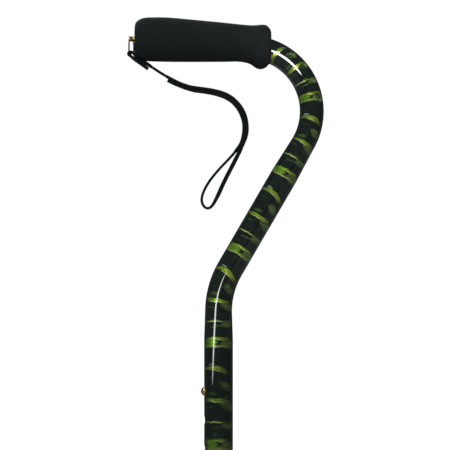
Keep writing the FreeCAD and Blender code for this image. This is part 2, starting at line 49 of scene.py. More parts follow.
# ---- Handle tube: the same centreline and sections as the CAD part ----
SHAFT_Y = -16.0 * MM
TUBE_R = 12.7 * MM
TUBE_WALL = 1.47 * MM
TUBE_END_Z = 228.0 * MM
HANDLE_TILT = math.radians(4.0)
DIAGONAL_LEAN = math.radians(30.23)
UPPER_BEND_R = 56.4 * MM
UPPER_CENTRE = (25.7 * MM, 654.5 * MM)
LOWER_BEND_R = 74.8 * MM
HANDLE_HALF = 10.55 * MM
DIAGONAL_HALF = 11.85 * MM
UPPER_TAPER = 33.0 * MM
LOWER_TAPER = 24.0 * MM
HANDLE_FREE_X = -66.0 * MM
HOLE_R = 4.0 * MM
HOLE_PITCH = 25.4 * MM
HOLE_COUNT = 7
BUTTON_Z = 408.0 * MM

# ---- Ring as in the CAD part, and a strap that keeps within about 2 mm of that part's route ----
RING_YAW = math.radians(20.0)
RING_BAR = np.array((-76.7, -16.0, 705.498)) * MM
STRAP_THICK = 2.4 * MM
STRAP_WIDTH = 7.6 * MM
STRAP_PLY_PITCH = 2.95 * MM
STRAP_TAIL = 19.0 * MM
# Control points of the strap's line: X and Z in millimetres.
STRAP_ROUTE = [
    (-75.7, 705.4), (-61.0, 694.8), (-44.3, 684.0), (-27.2, 675.9), (-6.2, 673.6), (9.0, 669.2),
    (19.1, 660.2), (25.0, 648.2), (25.4, 633.0), (18.8, 619.6), (12.0, 606.2), (4.5, 591.8),
    (-1.6, 577.8), (-7.0, 568.8), (-12.6, 569.4), (-15.8, 577.0), (-10.8, 589.5), (-0.4, 602.8),
    (10.7, 614.0), (18.9, 624.2), (22.4, 634.4), (22.3, 646.8), (16.8, 658.4), (7.9, 666.4),
    (-6.9, 670.9), (-28.4, 673.2), (-44.8, 681.6),
]

# ---- Camera ----
CAMERA_PLACE = (5.7 * MM, -2.217, 554.4 * MM)
CAMERA_LENS = 200
CAMERA_SENSOR = 36


def add_object(name, data):
    thing = bpy.data.objects.new(name, data)
    bpy.context.scene.collection.objects.link(thing)
    return thing


def add_camera():
    data = bpy.data.cameras.new("camera")
    data.lens = CAMERA_LENS
    data.sensor_width = CAMERA_SENSOR
    camera = add_object("camera", data)
    camera.location = CAMERA_PLACE
    camera.rotation_euler = (math.pi / 2, 0, 0)
    bpy.context.scene.camera = camera


add_camera()


# ---- Mesh helpers ----
def new_piece(name, points, faces, body):
    """A smooth mesh with its normals outwards, riding on a body."""
    mesh = bpy.data.meshes.new(name)
    mesh.from_pydata([tuple(p) for p in points], [], faces)
    mesh.validate()
    shape = bmesh.new()
    shape.from_mesh(mesh)
    bmesh.ops.recalc_face_normals(shape, faces=shape.faces)
    shape.to_mesh(mesh)
    shape.free()
    mesh.update()
    mesh.shade_smooth()
    piece = add_object(name, mesh)
    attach(piece, body)
    return piece


def vector_attribute(piece, name, values):
    layer = piece.data.attributes.new(name, "FLOAT_VECTOR", "POINT")
    layer.data.foreach_set("vector", np.asarray(values, dtype=np.float32).ravel())


def unit(v):
    return v / np.linalg.norm(v, axis=-1, keepdims=True)


def ramp(values, low, high):
    """0 at low, 1 at high and straight between them."""
    return np.clip((values - low) / (high - low), 0, 1)


def circle(count, start=0.0):
    """Angles evenly spaced round a full turn."""
    return [start + FULL_TURN * j / count for j in range(count)]


def distances(line):
    """How far along a line each of its points is."""
    return np.concatenate([[0], np.cumsum(np.linalg.norm(np.diff(line, axis=0), axis=1))])


def ring_points(centre, side, up, turns):
    """Points round an ellipse that has side and up as its half axes."""
    return [centre + side * math.cos(t) + up * math.sin(t) for t in turns]


def smooth_run(values, rounds):
    values = np.array(values, float)
    for _ in range(rounds):
        values[1:-1] = (values[:-2] + 2 * values[1:-1] + values[2:]) / 4
    return values


def loop(index, sides, base=0):
    """Vertex numbers of one of the loops that are numbered one after another."""
    return list(range(base + index * sides, base + (index + 1) * sides))


def ring_faces(first, second, flip=False):
    """Quads between two closed loops of vertex numbers."""
    faces = []
    count = len(first)
    for i in range(count):
        j = (i + 1) % count
        quad = (first[i], first[j], second[j], second[i])
        faces.append(quad[::-1] if flip else quad)
    return faces


def skin(count, sides, closed=False, base=0):
    """Quads between each loop of vertices and the next, and from the last to the first if closed."""
    faces = []
    for i in range(count if closed else count - 1):
        faces += ring_faces(loop(i, sides, base), loop((i + 1) % count, sides, base))
    return faces


# ---- Strap ----
ROUTE_DETAIL = 24
BAND_STEP = 0.3 * MM
BAND_SIDES = 28
BAND_SQUARENESS = 0.42
BAND_RIPPLE = 0.05 * MM
BAND_RIB = 0.03 * MM
BAND_RIB_COUNT = 3
BAND_WEFT_PITCH = 1.15 * MM
TAIL_POINTS = 12
FOLD_POINTS = 25
FOLD_HALF_TURN = 100
FOLD_THICK = 1.7 * MM
FOLD_R = 2.0 * MM
FOLD_DROP = 0.45 * MM
FOLD_REACH = 4.0 * MM
SINGLE_THICK = 2.3 * MM
DOUBLE_GAP = (1.9 * MM, 2.9 * MM)
DOUBLE_EXTRA = 0.06 * MM
SAME_RUN = 9.0 * MM
FAR_OFF = 1.0
LOOP_TWIST = math.radians(16)
LINE_SMOOTHING = 6
THICK_SMOOTHING = 10
TWIST_SMOOTHING = 20
# Distances from the ring's bar over which the band leaves the ring's direction and its folded
# thickness, the gap over which two plies part, and heights between which the band is turned.
RING_TO_FREE = (3.0 * MM, 12.0 * MM)
FOLD_TO_FLAT = (2.4 * MM, 5.4 * MM)
PLIES_PART = (3.0 * MM, 3.6 * MM)
TWIST_ENDS = (614.0 * MM, 628.0 * MM)
TWIST_STARTS = (569.0 * MM, 581.0 * MM)
TWIST_LEFT_X = -8.0 * MM


def nurbs_line(route):
    """Points read from a NURBS spline with the route as its control points."""
    curve = bpy.data.curves.new("route", "CURVE")
    curve.dimensions = "3D"
    curve.resolution_u = ROUTE_DETAIL
    spline = curve.splines.new("NURBS")
    spline.points.add(len(route) - 1)
    for point, (x, z) in zip(spline.points, route):
        point.co = (x * MM, SHAFT_Y, z * MM, 1)
    spline.order_u = 3
    spline.use_endpoint_u = True
    holder = bpy.data.objects.new("route", curve)
    mesh = bpy.data.meshes.new_from_object(holder)
    line = np.array([v.co[:] for v in mesh.vertices])
    bpy.data.objects.remove(holder)
    bpy.data.curves.remove(curve)
    bpy.data.meshes.remove(mesh)
    return line


def resample(line):
    """Even steps along a line, and the distance of each."""
    lengths = distances(line)
    count = int(round(lengths[-1] / BAND_STEP)) + 1
    places = np.linspace(0, lengths[-1], count)
    return np.stack([np.interp(places, lengths, line[:, i]) for i in range(3)], axis=1), places


def frames_along(line, wide):
    """Directions of the width, and directions square to them and to the travel."""
    along = unit(np.gradient(line, axis=0))
    wide = unit(wide - along * (wide * along).sum(axis=1, keepdims=True))
    return wide, np.cross(along, wide)


def band_piece(name, line, wide, half_thick, half_wide, body):
    """Webbing: a rounded flat section carried along a line, with both ends closed."""
    wide, up = frames_along(line, wide)
    places = distances(line)
    turns = np.array(circle(BAND_SIDES))
    across = np.sign(np.cos(turns)) * np.abs(np.cos(turns)) ** BAND_SQUARENESS
    high = np.sign(np.sin(turns)) * np.abs(np.sin(turns)) ** BAND_SQUARENESS
    ripple = BAND_RIPPLE * np.sin(places * FULL_TURN / BAND_WEFT_PITCH)
    points = []
    weave = []
    for i, centre in enumerate(line):
        edge = half_wide + ripple[i]
        for a, h in zip(across, high):
            rib = BAND_RIB * math.cos(a * BAND_RIB_COUNT * math.pi)
            points.append(centre + wide[i] * (a * edge) + up[i] * (h * (half_thick[i] + rib)))
            weave.append((a * half_wide / MM, places[i] / MM, h))
    faces = skin(len(line), BAND_SIDES)
    for index, flip in ((0, True), (len(line) - 1, False)):
        rim = loop(index, BAND_SIDES)
        middle = len(points)
        points.append(np.mean([points[k] for k in rim], axis=0))
        weave.append((0, weave[rim[0]][1], 0))
        for j in range(BAND_SIDES):
            triangle = (rim[j], rim[(j + 1) % BAND_SIDES], middle)
            faces.append(triangle[::-1] if flip else triangle)
    piece = new_piece(name, points, [f[::-1] for f in faces], body)
    vector_attribute(piece, "weave", weave)
    return piece


def ply_gap(line):
    """Distance from each point of a line to the nearest point of its other runs."""
    skip = int(SAME_RUN / BAND_STEP)
    gaps = np.zeros(len(line))
    for i, point in enumerate(line):
        away = np.linalg.norm(line - point, axis=1)
        away[max(0, i - skip):i + skip] = FAR_OFF
        gaps[i] = away.min()
    return gaps


def make_strap():
    """The strap's webbing, its stitching and the line that its run follows."""
    run, places = resample(nurbs_line(STRAP_ROUTE))
    along = unit(run[1] - run[0])
    up = np.array((-along[2], 0, along[0]))
    bar = RING_BAR - Z_AXIS * FOLD_DROP
    # The fold goes round the ring's bar; the tail starts under the first run.
    under = run[0] - up * STRAP_PLY_PITCH
    turns = np.radians(np.linspace(-FOLD_HALF_TURN, FOLD_HALF_TURN, FOLD_POINTS))
    fold = [bar - along * (FOLD_R * math.cos(t)) + up * (FOLD_R * math.sin(t)) for t in turns]
    guide = np.vstack([
        np.linspace(under + along * STRAP_TAIL, under + along * FOLD_REACH, TAIL_POINTS),
        np.array(fold),
        run[np.searchsorted(places, FOLD_REACH):],
    ])
    line = smooth_run(resample(guide)[0], LINE_SMOOTHING)
    distance = np.linalg.norm(line - bar, axis=1)
    ring_side = np.array((math.sin(RING_YAW), math.cos(RING_YAW), 0))
    free = ramp(distance, *RING_TO_FREE)[:, None]
    wide = unit(ring_side * (1 - free) + Y_AXIS * free)
    # The band is fullest where two plies lie together, and thinnest round the ring's bar.
    gap = ply_gap(line)
    double = np.clip(gap, *DOUBLE_GAP) + DOUBLE_EXTRA
    flat = double + (SINGLE_THICK - double) * ramp(gap, *PLIES_PART)
    thick = FOLD_THICK + (flat - FOLD_THICK) * ramp(distance, *FOLD_TO_FLAT)
    half_thick = smooth_run(thick, THICK_SMOOTHING) / 2
    # It turns a little on its way down the hanging loop.
    x, z = line[:, 0], line[:, 2]
    downwards = np.arange(len(line)) < np.argmin(z)
    turning = (1 - ramp(z, *TWIST_ENDS)) * ramp(z, *TWIST_STARTS) * downwards * (x > TWIST_LEFT_X)
    twist = smooth_run(LOOP_TWIST * turning, TWIST_SMOOTHING)[:, None]
    wide, high = frames_along(line, wide)
    wide = wide * np.cos(twist) + high * np.sin(twist)
    strap = band_piece("strap_webbing", line, wide, half_thick, STRAP_WIDTH / 2, "strap")
    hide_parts("wrist_strap")
    stitches = make_stitches(run, along, line, half_thick)
    return strap, stitches, run


THREAD_R = 0.2 * MM
THREAD_STEPS = 7
THREAD_SIDES = 8
THREAD_END_SHARE = 0.55
STITCH_LENGTH = 1.5 * MM
STITCH_PITCH = 2.3 * MM
STITCH_LANE = 2.3 * MM
TAIL_STITCHES = 6
TAIL_STITCH_START = 6.0 * MM
LOOP_STITCHES = 7
LOOP_STITCH_END = 8


def thread(points_out, faces_out, start, end, up):
    """One stitch: a short bowed thread lying on the webbing."""
    along = unit(end - start)
    side = np.cross(along, up)
    base = len(points_out)
    for i in range(THREAD_STEPS):
        share = i / (THREAD_STEPS - 1)
        bow = math.sin(share * math.pi)
        centre = start + (end - start) * share + up * (THREAD_R * (bow - 0.5))
        thick = THREAD_R * (THREAD_END_SHARE + (1 - THREAD_END_SHARE) * bow)
        points_out += ring_points(centre, side * thick, up * thick, circle(THREAD_SIDES))
    faces_out += skin(THREAD_STEPS, THREAD_SIDES, base=base)
    faces_out.append(tuple(loop(0, THREAD_SIDES, base))[::-1])
    faces_out.append(tuple(loop(THREAD_STEPS - 1, THREAD_SIDES, base)))


def make_stitches(run, along, line, half_thick):
    """Rows of thread where the tail is sewn to the first run and the loop's end to the band."""
    points = []
    faces = []
    up = np.array((-along[2], 0, along[0]))
    lowest = int(np.argmin(run[:, 2]))
    stitch_steps = int(STITCH_LENGTH / BAND_STEP)

    def sew(start, end, normal, lane):
        """One stitch on the face of the band that the normal points out of."""
        nearest = int(np.argmin(np.linalg.norm(line - start, axis=1)))
        offset = Y_AXIS * (lane * STITCH_LANE) + normal * half_thick[nearest]
        thread(points, faces, start + offset, end + offset, normal)

    for lane in (-1, 1):
        for index in range(TAIL_STITCHES):
            start = run[0] + along * (TAIL_STITCH_START + index * STITCH_PITCH)
            sew(start, start + along * STITCH_LENGTH, up, lane)
            start = start - up * STRAP_PLY_PITCH
            sew(start, start + along * STITCH_LENGTH, -up, lane)
        for index in range(LOOP_STITCHES):
            place = len(run) - LOOP_STITCH_END - int((index + 1) * STITCH_PITCH / BAND_STEP)
            ahead = place + stitch_steps
            tangent = unit(run[ahead] - run[place])
            down = np.array((-tangent[2], 0, tangent[0]))
            sew(run[place], run[ahead], down, lane)
            over = int(np.argmin(np.linalg.norm(run[:lowest] - run[place], axis=1)))
            sew(run[over], run[over - stitch_steps], -down, lane)
    return new_piece("strap_stitching", points, faces, "strap")


# ---- Foam grip ----
GRIP_SIDES = 112
GRIP_STEPS = 7
# Sections of the grip: X, centre Z and radius in millimetres. The mouth is the post's hole and
# the face round it; the outside follows from there to the flare at the other end.
GRIP_MOUTH = [
    (-69.5, 717.705, 2.5), (-71.0, 717.81, 2.5), (-72.7, 717.929, 2.5), (-73.2, 717.7, 3.2),
    (-73.55, 717.7, 4.8), (-73.7, 717.7, 7.2), (-73.75, 717.7, 9.6),
]
GRIP_OUTSIDE = [
    (-73.7, 717.6, 11.6), (-73.3, 717.6, 13.8), (-72.0, 717.6, 15.9), (-69.5, 717.6, 17.7),
    (-65.5, 717.8, 18.9), (-59.0, 717.8, 19.4), (-44.0, 717.5, 19.5), (-20.0, 716.4, 18.5),
    (4.0, 715.3, 17.3), (18.0, 714.6, 16.5), (27.0, 713.3, 17.0), (33.0, 711.4, 18.9),
    (37.5, 711.1, 19.6), (42.0, 711.8, 18.5), (45.2, 712.3, 15.0), (46.4, 711.7, 12.6),
]
# Rings on the tube's skin that close the grip: degrees round the bend and gap in millimetres.
GRIP_BORE = [(72.5, 0.4), (74.5, 0.06), (79, 0.04), (86, 0.04)]
BEND_SIDE_X = 25.0 * MM
FOAM_SKIN = 0.7 * MM
DENT_TOP_Z = 708.0 * MM
DENT_RIGHT_X = -56.0 * MM
DENT_RUN_POINTS = 120
DENT_SLOPE = math.radians(39)
DENT_HALF = 4.6 * MM
DENT_FADE = 5.5 * MM
DENT_CLEAR = 0.45 * MM


def catmull_rom(rows, steps):
    """Smooth rows between given rows of numbers."""
    rows = np.array(rows, float)
    padded = np.vstack([2 * rows[0] - rows[1], rows, 2 * rows[-1] - rows[-2]])
    out = []
    for a, b, c, d in zip(padded, padded[1:], padded[2:], padded[3:]):
        for t in np.arange(steps) / steps:
            out.append(0.5 * (2 * b + (c - a) * t + (2 * a - 5 * b + 4 * c - d) * t ** 2
                              + (3 * b - a - 3 * c + d) * t ** 3))
    out.append(rows[-1])
    return np.array(out)


def clear_of_tube(point):
    """Moves a point of the grip's flared end out to just above the bent tube."""
    centre = np.array((UPPER_CENTRE[0], SHAFT_Y, UPPER_CENTRE[1]))
    out = (point - centre) * (1, 0, 1)
    reach = np.linalg.norm(out)
    lateral = (reach - UPPER_BEND_R) / (HANDLE_HALF + FOAM_SKIN)
    ratio = math.hypot(lateral, (point[1] - SHAFT_Y) / (TUBE_R + FOAM_SKIN))
    if out[0] < 0 or ratio >= 1:
        return point
    axis = centre + out / reach * UPPER_BEND_R
    return axis + (point - axis) / ratio


def press_dent(point, run):
    """Lifts the foam's lower rim over the strap that presses into it."""
    x, y, z = point
    if z > DENT_TOP_Z or x > DENT_RIGHT_X:
        return point
    strap_z = np.interp(x, run[:DENT_RUN_POINTS, 0], run[:DENT_RUN_POINTS, 2])
    wanted = strap_z + STRAP_THICK / 2 / math.cos(DENT_SLOPE) + DENT_CLEAR
    fade = ramp(abs(y - SHAFT_Y), DENT_HALF, DENT_HALF + DENT_FADE)
    fade = 1 - fade * fade * (3 - 2 * fade)
    return np.array((x, y, z + max(0.0, wanted - z) * fade))


def make_grip(run):
    rows = np.vstack([GRIP_MOUTH, catmull_rom(GRIP_OUTSIDE, GRIP_STEPS)]) * MM
    points = []
    turns = circle(GRIP_SIDES)
    for x, z, radius in rows:
        for point in ring_points(np.array((x, SHAFT_Y, z)), -Z_AXIS * radius, Y_AXIS * radius, turns):
            points.append(clear_of_tube(point) if x > BEND_SIDE_X else press_dent(point, run))
    for angle, gap in GRIP_BORE:
        turn_to = math.radians(angle)
        out = np.array((math.cos(turn_to), 0, math.sin(turn_to)))
        centre = np.array((UPPER_CENTRE[0], SHAFT_Y, UPPER_CENTRE[1])) + out * UPPER_BEND_R
        inwards = -out * (HANDLE_HALF + gap * MM)
        points += ring_points(centre, inwards, Y_AXIS * (TUBE_R + gap * MM), turns)
    faces = skin(len(points) // GRIP_SIDES, GRIP_SIDES, closed=True)
    grip = new_piece("grip_foam", points, faces, "upper")
    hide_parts("foam_grip")
    return grip


# ---- Painted handle tube ----
TUBE_SIDES = 80
SIDE_STEP = FULL_TURN / TUBE_SIDES
HANDLE_STEP = 4.0 * MM
BEND_STEP = 2.0 * MM
LOWER_BEND_RINGS = 22
LOWER_TAPER_RINGS = 13
ROWS_PER_PITCH = 20
ROW_STEP = HOLE_PITCH / ROWS_PER_PITCH
# The holes are cut in the column of vertices on the tube's -X side.
HOLE_COLUMN = TUBE_SIDES // 4
HOLE_HALF_COLUMNS = 6
HOLE_HALF_ROWS = 5
HOLE_BEVEL = 0.2 * MM
HOLE_BLEND = (0.4, 0.75, 1.0)
MOTIF_START = 139.0 * MM
MOTIF_PERIOD = 68.0 * MM
MOTIF_GROWTH = 2.75 * MM


def heading(below_x):
    """A direction in the XZ plane, at an angle below +X."""
    return np.array((math.cos(below_x), 0, -math.sin(below_x)))


def handle_path():
    """Ring centres down the tube: position, direction, half thickness in the bend's plane, distance.

    Also the number of the first ring of the even rows that carry the holes, and its height.
    """
    centre = np.array((UPPER_CENTRE[0], SHAFT_Y, UPPER_CENTRE[1]))
    bend_start = centre + heading(HANDLE_TILT - math.pi / 2) * UPPER_BEND_R
    bend_end = centre + heading(DIAGONAL_LEAN) * UPPER_BEND_R
    diagonal = heading(math.pi / 2 + DIAGONAL_LEAN)
    corner = bend_end + diagonal * (bend_end[0] / math.sin(DIAGONAL_LEAN))
    tangent = LOWER_BEND_R * math.tan(DIAGONAL_LEAN / 2)
    lower_start = corner - diagonal * tangent
    lower_end = corner - Z_AXIS * tangent
    free = bend_start + heading(HANDLE_TILT) * ((HANDLE_FREE_X - bend_start[0]) / math.cos(HANDLE_TILT))
    rings = []
    run = np.linalg.norm(bend_start - free)
    for d in np.linspace(0, run, int(run / HANDLE_STEP), endpoint=False):
        rings.append((free + heading(HANDLE_TILT) * d, heading(HANDLE_TILT), HANDLE_HALF, d))
    travelled = run
    turn = math.pi / 2 + DIAGONAL_LEAN - HANDLE_TILT
    for t in np.linspace(0, turn, int(turn * UPPER_BEND_R / BEND_STEP), endpoint=False):
        out = heading(HANDLE_TILT - math.pi / 2 + t)
        rings.append((centre + out * UPPER_BEND_R, heading(HANDLE_TILT + t), HANDLE_HALF,
                      travelled + t * UPPER_BEND_R))
    travelled += turn * UPPER_BEND_R
    run = np.linalg.norm(lower_start - bend_end)
    for d in np.linspace(0, run, int(run / BEND_STEP), endpoint=False):
        half = HANDLE_HALF + (DIAGONAL_HALF - HANDLE_HALF) * min(1, d / UPPER_TAPER)
        rings.append((bend_end + diagonal * d, diagonal, half, travelled + d))
    travelled += run
    pivot = lower_end + X_AXIS * LOWER_BEND_R
    for t in np.linspace(0, DIAGONAL_LEAN, LOWER_BEND_RINGS, endpoint=False):
        direction = heading(math.pi / 2 + DIAGONAL_LEAN - t)
        out = np.array((direction[2], 0, -direction[0]))
        rings.append((pivot + out * LOWER_BEND_R, direction, DIAGONAL_HALF, travelled + t * LOWER_BEND_R))
    travelled += DIAGONAL_LEAN * LOWER_BEND_R
    taper_end = lower_end[2] - LOWER_TAPER
    first_z = BUTTON_Z + ROW_STEP * math.floor((taper_end - BUTTON_Z) / ROW_STEP)

    def add_straight(z, half):
        place = np.array((0, SHAFT_Y, z))
        rings.append((place, -Z_AXIS, half, travelled + lower_end[2] - z))

    for z in np.linspace(lower_end[2], first_z, LOWER_TAPER_RINGS, endpoint=False):
        share = min(1, (lower_end[2] - z) / LOWER_TAPER)
        add_straight(z, DIAGONAL_HALF + (TUBE_R - DIAGONAL_HALF) * share)
    first_row = len(rings)
    for index in range(int((first_z - TUBE_END_Z) / ROW_STEP) + 1):
        add_straight(first_z - index * ROW_STEP, TUBE_R)
    add_straight(TUBE_END_Z, TUBE_R)
    return rings, first_row, first_z


def motif_phase(distance):
    """How many repeats of the printed pattern lie above a place on the tube."""
    inside = MOTIF_PERIOD ** 2 + 4 * MOTIF_GROWTH * (distance - MOTIF_START)
    return (math.sqrt(inside) - MOTIF_PERIOD) / (2 * MOTIF_GROWTH)


def make_tube():
    """The tube's outer and inner skins with round button holes, and the pattern's coordinates."""
    rings, first_row, first_z = handle_path()
    points = []
    wraps = []
    faces = []
    phases = [motif_phase(ring[3]) for ring in rings]
    steps = circle(TUBE_SIDES, -math.pi)

    def place(theta, centre, direction, half, inset):
        side = np.array((-direction[2], 0, direction[0]))
        return (centre + side * ((half - inset) * math.sin(theta))
                - Y_AXIS * ((TUBE_R - inset) * math.cos(theta)))

    def add(point, theta, phase):
        points.append(point)
        wraps.append((math.cos(theta), math.sin(theta), phase))
        return len(points) - 1

    button_row = first_row + round((first_z - BUTTON_Z) / ROW_STEP)
    hole_rows = [button_row + ROWS_PER_PITCH * k for k in range(HOLE_COUNT)]

    def inside_hole(i, j, margin):
        """True for grid vertices, or with margin 1 for quads, that a hole takes away."""
        if abs(j - HOLE_COLUMN + margin * 0.5) >= HOLE_HALF_COLUMNS:
            return False
        return any(abs(i - row + margin * 0.5) < HOLE_HALF_ROWS for row in hole_rows)

    def add_hole(grid, row, inset, flip):
        """Loops of quads from the square gap in the grid to a round hole's mouth."""
        z0 = float(rings[row][0][2])
        radius = TUBE_R - inset
        mouth = HOLE_R + (HOLE_BEVEL if inset == 0 else 0)
        fall = (phases[row + 1] - phases[row]) / ROW_STEP
        a, b = HOLE_HALF_COLUMNS, HOLE_HALF_ROWS
        edge = [(a, t) for t in range(-b, b)] + [(-t, b) for t in range(-a, a)]
        edge += [(-a, -t) for t in range(-b, b)] + [(t, -b) for t in range(-a, a)]
        turned = [math.atan2(-r * ROW_STEP, c * SIDE_STEP * TUBE_R) for c, r in edge]
        previous = [grid[row + r][HOLE_COLUMN + c] for c, r in edge]
        for share in HOLE_BLEND:
            loop_now = []
            for (c, r), turn in zip(edge, turned):
                theta_edge = c * SIDE_STEP
                theta_hole = math.asin(mouth * math.cos(turn) / radius)
                theta = theta_edge + (theta_hole - theta_edge) * share - math.pi / 2
                z_edge = z0 - r * ROW_STEP
                z = z_edge + (z0 + mouth * math.sin(turn) - z_edge) * share
                point = np.array((radius * math.sin(theta), SHAFT_Y - radius * math.cos(theta), z))
                loop_now.append(add(point, theta, phases[row] + (z0 - z) * fall))
            faces.extend(ring_faces(previous, loop_now, flip=flip))
            previous = loop_now
        return previous, turned, z0, phases[row]

    rims = []
    walls = []
    for inset, flip in ((0.0, False), (TUBE_WALL, True)):
        grid = []
        for i, (centre, direction, half, _) in enumerate(rings):
            row = []
            for j, theta in enumerate(steps):
                if inside_hole(i, j, 0):
                    row.append(None)
                else:
                    row.append(add(place(theta, centre, direction, half, inset), theta, phases[i]))
            grid.append(row)
        for i in range(len(rings) - 1):
            for j in range(TUBE_SIDES):
                k = (j + 1) % TUBE_SIDES
                if not inside_hole(i, j, 1):
                    quad = (grid[i][j], grid[i][k], grid[i + 1][k], grid[i + 1][j])
                    faces.append(quad if flip else quad[::-1])
        rims.append((grid[0], grid[-1]))
        walls.append([add_hole(grid, row, inset, flip) for row in hole_rows])
    # Bevelled hole walls between the outer and inner skins.
    for (outer, turned, z0, phase), (inner, _, _, _) in zip(*walls):
        lip = []
        for turn in turned:
            y = HOLE_R * math.cos(turn)
            reach = math.sqrt((TUBE_R - HOLE_BEVEL) ** 2 - y * y)
            point = np.array((-reach, SHAFT_Y - y, z0 + HOLE_R * math.sin(turn)))
            lip.append(add(point, -math.pi / 2, phase))
        faces.extend(ring_faces(outer, lip))
        faces.extend(ring_faces(lip, inner))
    faces.extend(ring_faces(rims[0][0], rims[1][0]))
    faces.extend(ring_faces(rims[0][1], rims[1][1], flip=True))
    tube = new_piece("tube_painted", points, faces, "upper")
    vector_attribute(tube, "wrap", wraps)
    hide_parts("upper_tube")
    return tube


strap, stitches, strap_run = make_strap()
grip = make_grip(strap_run)
tube = make_tube()


# ---- Quad base details ----
FOOT_XS = {"front": 85.5 * MM, "rear": -85.5 * MM}
FOOT_YS = {"near": -60.0 * MM, "far": 60.0 * MM}
LATHE_SIDES = 96
# The tip's outline: radius and height in millimetres, from the grooved sole up and down the bore.
TIP_PROFILE = [
    (0.01, 8.0), (0.01, 1.2), (3.2, 1.2), (3.6, 0.5), (5.2, 0.5), (5.6, 1.2), (8.5, 1.2), (8.9, 0.0),
    (10.9, 0.0), (11.3, 1.0), (12.3, 1.0), (12.7, 0.0), (15.2, 0.0), (16.3, 1.2), (16.3, 2.4), (15.8, 2.8),
    (15.8, 3.4), (16.3, 3.8), (16.3, 6.2), (15.4, 8.0), (13.9, 11.8), (12.7, 15.6), (12.0, 18.4),
    (11.6, 20.4), (11.1, 20.8), (11.1, 21.6), (11.5, 22.0), (11.45, 24.2), (11.0, 24.6), (11.0, 25.4),
    (11.4, 25.8), (11.3, 35.4), (11.5, 36.2), (12.0, 36.6), (12.0, 38.8), (11.3, 39.8), (9.0, 39.8),
    (8.0, 39.0), (8.0, 8.0),
]
TIP_SOFTEN = 0.35
TIP_SOFTEN_SHARE = 0.4


def soften(profile, cut):
    """Rounds each corner of a profile with a short three-point turn."""
    rows = [np.array(p, float) for p in profile]
    out = [rows[0]]
    for before, corner, after in zip(rows, rows[1:], rows[2:]):
        back = before - corner
        ahead = after - corner
        reach = min(cut, np.linalg.norm(back) * TIP_SOFTEN_SHARE, np.linalg.norm(ahead) * TIP_SOFTEN_SHARE)
        start = corner + unit(back) * reach
        end = corner + unit(ahead) * reach
        out += [start, (start + 2 * corner + end) / 4, end]
    out.append(rows[-1])
    return out


def make_tips():
    profile = [(r * MM, z * MM) for r, z in soften(TIP_PROFILE, TIP_SOFTEN)]
    faces = skin(len(profile), LATHE_SIDES, closed=True)
    tips = []
    for end, x in FOOT_XS.items():
        for side, y in FOOT_YS.items():
            points = []
            for r, z in profile:
                points += ring_points(np.array((x, y, z)), X_AXIS * r, Y_AXIS * r, circle(LATHE_SIDES))
            tip = new_piece("tip_" + end + "_" + side, points, faces, "base")
            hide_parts("rubber_tip_" + end + "_" + side)
            tips.append(tip)
    return tips


WELD_R = 1.5 * MM
WELD_RIPPLE = 0.16 * MM
WELD_PITCH = 1.9 * MM
WELD_SIDES = 12
WELD_END_SHARE = 0.25
WELD_END_STEP = 0.2
SOCKET_R = 14.3 * MM
SOCKET_WELD_POINTS = 240
SOCKET_WELD_OUT = 0.4 * MM
SOCKET_WELD_UP = 0.5 * MM
PLATE_TOP_Z = 112.95 * MM
PLATE_BOTTOM_Z = 91.05 * MM
LEG_X = 22.25 * MM
LEG_R = 7.95 * MM
LEG_WELD_POINTS = 100
LEG_WELD_HALF = 16.0 * MM
LEG_WELD_BELOW_TOP = 1.1 * MM
LEG_WELD_OUT = 0.5 * MM
LEG_WELD_UP = 0.4 * MM
HUB_Z = 102.0 * MM


def weld_bead(name, line, closed):
    """A rippled bead of weld metal along a line; an open one tapers to its ends."""
    line = np.array(line)
    if closed:
        along = unit(np.roll(line, -1, axis=0) - np.roll(line, 1, axis=0))
    else:
        along = unit(np.gradient(line, axis=0))
    lengths = distances(line)
    count = len(line)
    points = []
    for i, centre in enumerate(line):
        side = unit(np.cross(along[i], Z_AXIS))
        up = np.cross(side, along[i])
        share = 1.0 if closed else min(1, WELD_END_SHARE + min(i, count - 1 - i) * WELD_END_STEP)
        radius = (WELD_R + WELD_RIPPLE * math.sin(lengths[i] * FULL_TURN / WELD_PITCH)) * share
        points += ring_points(centre, side * radius, up * radius, circle(WELD_SIDES))
    faces = skin(count, WELD_SIDES, closed)
    if not closed:
        faces.append(tuple(loop(0, WELD_SIDES)))
        faces.append(tuple(loop(count - 1, WELD_SIDES))[::-1])
    return new_piece(name, points, faces, "base")


def make_welds():
    """Beads round the socket above and below the hub, and along the leg tubes' crests."""
    welds = []
    reach = SOCKET_R + SOCKET_WELD_OUT
    for tag, z in (("top", PLATE_TOP_Z + SOCKET_WELD_UP), ("bottom", PLATE_BOTTOM_Z - SOCKET_WELD_UP)):
        centre = np.array((0, SHAFT_Y, z))
        line = ring_points(centre, X_AXIS * reach, Y_AXIS * reach, circle(SOCKET_WELD_POINTS))
        welds.append(weld_bead("weld_socket_" + tag, line, True))
    drop = LEG_R - LEG_WELD_BELOW_TOP
    aside = math.sqrt(LEG_R ** 2 - drop ** 2) + LEG_WELD_OUT
    steps = np.linspace(-LEG_WELD_HALF, LEG_WELD_HALF, LEG_WELD_POINTS)
    for side, tag in ((1, "front"), (-1, "rear")):
        for up, level in ((1, "upper"), (-1, "lower")):
            x = side * (LEG_X + aside)
            z = HUB_Z + up * (drop + LEG_WELD_UP)
            line = [(x, SHAFT_Y + y, z) for y in steps]
            welds.append(weld_bead("weld_" + tag + "_" + level, line, False))
    return welds


tips = make_tips()
welds = make_welds()


# ---- Materials ----
def fill_socket(tree, socket, value):
    """Links another node's output to a socket, or sets the socket's own value."""
    if isinstance(value, bpy.types.NodeSocket):
        tree.links.new(value, socket)
    elif socket.type == "RGBA":
        socket.default_value = (*value, 1)
    else:
        socket.default_value = value


